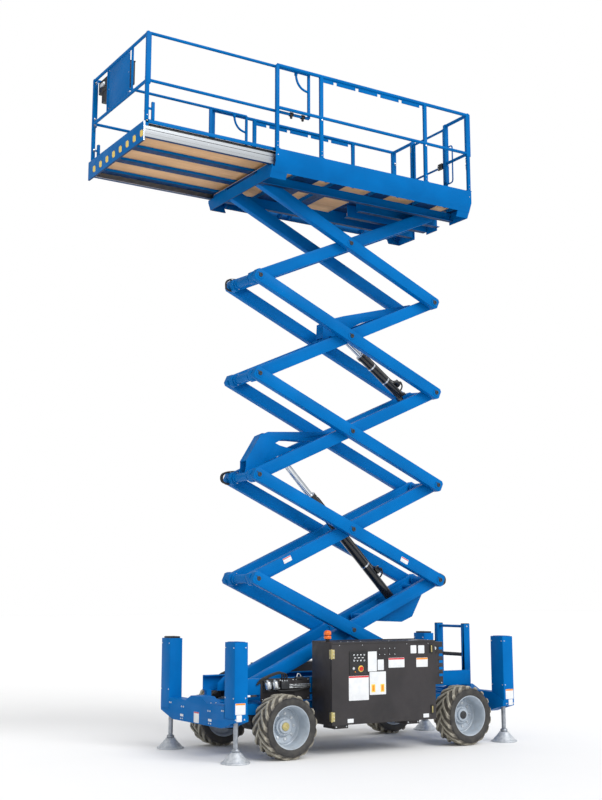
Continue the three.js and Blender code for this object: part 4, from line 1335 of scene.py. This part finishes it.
# a pull pin with a ring and a short wire lanyard
def hingePin(place, direction):
    pin = turnedPart(zincPlate, place, direction, [(6, 0), (6, 10), (12, 12), (12, 16), (6, 18)], 14)
    ring = [place + direction * 20 * mm + Vector((0.014 * math.cos(t * math.pi / 4), 0,
                                                  0.014 * math.sin(t * math.pi / 4) - 0.014))
            for t in range(8)]
    loop = tube("ring", ring, 1.8, 2, 1)
    loop.data.materials.append(zincPlate)
    wire = tube("wire", [place + direction * 16 * mm, place + direction * 26 * mm - alongZ * 40 * mm,
                         place + direction * 10 * mm - alongZ * 78 * mm, place - alongZ * 84 * mm], 2, 20, 1)
    wire.data.materials.append(hoseRubber)
    return [pin, loop, wire]


# hinges, a latch with its strike, and a grab bar beside the gate
def makeGateFittings():
    x = rails["gateX"]
    moving = []
    for z in (6640, 7560):
        moving.append(turnedPart(zincPlate, at(x, -316, z - 22), alongZ,
                                 [(9, 0), (12, 2), (12, 42), (9, 44)], 16))
        moving.append(bar(zincPlate, (x - 5, x + 5), (-316, -296), (z - 16, z + 16), 2))
    moving.append(bar(blackAbs, (x + 12, x + 34), (216, 300), (7070, 7150), 4, pressed=alongX, rim=7,
                      depth=4))
    moving.append(bar(zincPlate, (x - 6, x + 8), (288, 318), (7098, 7122), 2))
    moving.append(pipe(whiteFilm,
                       [(x + 34, 236, 7128), (x + 52, 236, 7120), (x + 52, 236, 7092), (x + 34, 236, 7084)],
                       5, 8))
    moving += bolts([at(x + 34, y, z) for y in (226, 290) for z in (7082, 7140)], alongX, 4)
    moving.append(film(charcoalPowder, at(x + 6, 0, 6580), 560, 84, alongX, 2, 10))
    finish(joined("gate_fittings", moving), None, "entry_gate", sharp=32)
    still = [pipe(blueEnamel, [(x, 366, 7342), (x, 474, 7342), (x, 474, 6850), (x, 366, 6850)], 9, 42)]
    still.append(bar(zincPlate, (x - 26, x - 20), (330, 368), (7084, 7136), 2))
    for z in (6640, 7560):
        still.append(bar(zincPlate, (x - 8, x + 8), (-349, -328), (z - 26, z - 23), 1))
        still.append(bar(zincPlate, (x - 8, x + 8), (-349, -328), (z + 23, z + 26), 1))
    still.append(turnedPart(goldPassivate, at(x + 24, -349, 7500), alongZ,
                            [(8, 0), (10, 2)] + [(10 - (n % 2) * 2.5, 6 + n * 5) for n in range(12)] + [(8,
                                    70)], 14))
    still += bolts([at(-1456, y * side, 6600) for y in (400, 560, 720) for side in (1, -1)], alongX, 6)
    finish(joined("gate_post_fittings", still), None, "platform", sharp=32)


# reflective squares along the extension's front board
def makeHazardSquares():
    squares = {"first": -577, "step": 183.5, "number": 8, "z": 6497, "size": 76, "sunk": 1.1}
    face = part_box("extension_frame")[1].x
    parts = []
    for number in range(squares["number"]):
        y = squares["first"] + number * squares["step"]
        spot = Vector((face - squares["sunk"] * mm, y * mm, squares["z"] * mm))
        parts.append(film(yellowFilm, spot, squares["size"], squares["size"], alongX, 1.4, 4))
        slant = plate("slant", [(-38, -34), (-38, -14), (-14, -38), (-34, -38)], 1.6, 0.2)
        slant.data.materials.append(charcoalPowder)
        put(slant, spot + alongX * 0.8 * mm, alongX)
        other = plate("slant", [(38, 34), (38, 14), (14, 38), (34, 38)], 1.6, 0.2)
        other.data.materials.append(charcoalPowder)
        put(other, spot + alongX * 0.8 * mm, alongX)
        parts += [slant, other]
    finish(joined("hazard_squares", parts), None, "extension", sharp=32)


# the toe rail over the channel, a black strip as painted shadow in the gap under it, curved handles, clamps,
# stub posts and pull pins
def makeExtensionFittings():
    parts = []
    y = rails["extensionY"]
    for side in (1, -1):
        parts.append(bar(blueEnamel, (905, 2950), ((y - 2) * side, (y + 16) * side), (6616, 6656), 3))
        # a black strip fills the gap between the toe rail and the channel: painted shadow
        parts.append(bar(blackAbs, (905, 2940), ((y - 14) * side, (y - 6) * side), (6576, 6618), 1.5))
        # a black strip in the channel's upper third: painted shade standing in for its slot
        parts.append(bar(blackAbs, (892, 2950), ((y + 23) * side, (y + 24.7) * side), (6534, 6540), 0.5))
        # a quarter bend from the top rail to the rear post
        bend = [(1066, y * side, 7626), (1062, y * side, 7560), (1040, y * side, 7500), (996, y * side, 7450),
                (940, y * side, 7428), (906, y * side, 7424)]
        parts.append(pipe(blueEnamel, bend, 14, 50))
        parts.append(turnedPart(blueEnamel, at(1066, y * side, 7590), alongZ,
                                [(15, 0), (19, 3), (19, 34), (15, 36)], 18))
        for x in (1130, 975):
            parts.append(turnedPart(blackAbs, at(x, y * side, 7112), -alongZ,
                                    [(19, 0), (23, 4), (23, 26), (19, 30), (15, 33), (15, 56), (11, 60)], 18))
            parts.append(bar(blackAbs, (x - 24, x + 24), ((y - 19) * side, (y + 19) * side), (7080, 7121), 4))
        # stub post and clamp beside the front post
        parts.append(bar(blueEnamel, (2848, 2882), ((y - 4) * side, (y + 22) * side), (6656, 6856), 3))
        parts.append(bar(blueEnamel, (2876, 2920), ((y - 2) * side, (y + 14) * side), (6768, 6792), 3))
        parts.append(turnedPart(zincPlate, at(2864, y * side, 6856), alongZ, [(9, 0), (9, 4), (5, 6)], 14))
        for z in (7600, 7150, 7080, 6770):
            parts += hingePin(at(2935, (y - 18) * side, z), -alongY * side)
        parts += bolts([at(2935, (y + 17) * side, z) for z in (6640, 6700)], alongY * side, 5.5)
        parts += bolts([at(x, 754 * side, 6515) for x in (1300, 1750, 2200, 2650)], alongY * side, 5)
    # one more post half way along the right rail
    parts.append(bar(blueEnamel, (1384, 1420), (-(y - 14), -(y + 14)), (6650, 7622), 3))
    panel = 2937
    parts += bolts([at(panel, y0, z) for y0 in (-300, 250) for z in (7140, 7370, 7595)], alongX, 5)
    parts.append(bar(blackAbs, (2866, 2936), (17, 265), (7497, 7512), 3))
    parts.append(bar(zincPlate, (2862, 2870), (124, 158), (7460, 7506), 2))
    finish(joined("extension_fittings", parts), None, "extension", sharp=32)


# platform control console: joystick, push buttons, a guard bar and the lead's gland
def makeConsole():
    parts = [bar(charcoalPowder, (2778, 2890), (-686, -414), (7606, 7612), 3)]
    parts.append(turnedPart(blackAbs, at(2837, -612, 7611), alongZ,
                            [(34, 0), (34, 4), (28, 12), (18, 20), (9, 24), (9, 34), (14, 37), (15, 41)], 24))
    for number, y in enumerate((-540, -505, -470)):
        parts.append(turnedPart(zincPlate, at(2860, y, 7612), alongZ, [(11, 0), (11, 5), (8, 7), (5, 7)], 16))
    parts.append(turnedPart(redAbs, at(2810, -450, 7612), alongZ,
                            [(14, 0), (14, 6), (22, 9), (22, 16), (12, 20)], 24))
    parts.append(pipe(zincPlate,
                      [(2768, -680, 7470), (2748, -680, 7490), (2748, -680, 7600), (2748, -410, 7600),
                                  (2748, -410, 7490), (2768, -410, 7470)], 8, 26))
    for y in (-668, -422):
        parts += bolts([at(2901, y, z) for z in (7470, 7586)], alongX, 5)
    parts.append(bar(zincPlate, (2899, 2930), (-600, -490), (7500, 7540), 3))
    # the gland of the console's lead, ribbed to keep it from kinking
    parts.append(turnedPart(blackAbs, at(2837, -520, 7330), -alongZ,
                            [(20, 0), (22, 4)] + [(20 - (n % 2) * 3 - n * 0.4,
                                                   10 + n * 8) for n in range(16)] + [(8, 136)]))
    finish(joined("console_details", parts), None, "extension", sharp=32)


setCamera()
setLight()
setFloor()
makeWheels()
makeChassis()
makeScissors()
makePlatform()
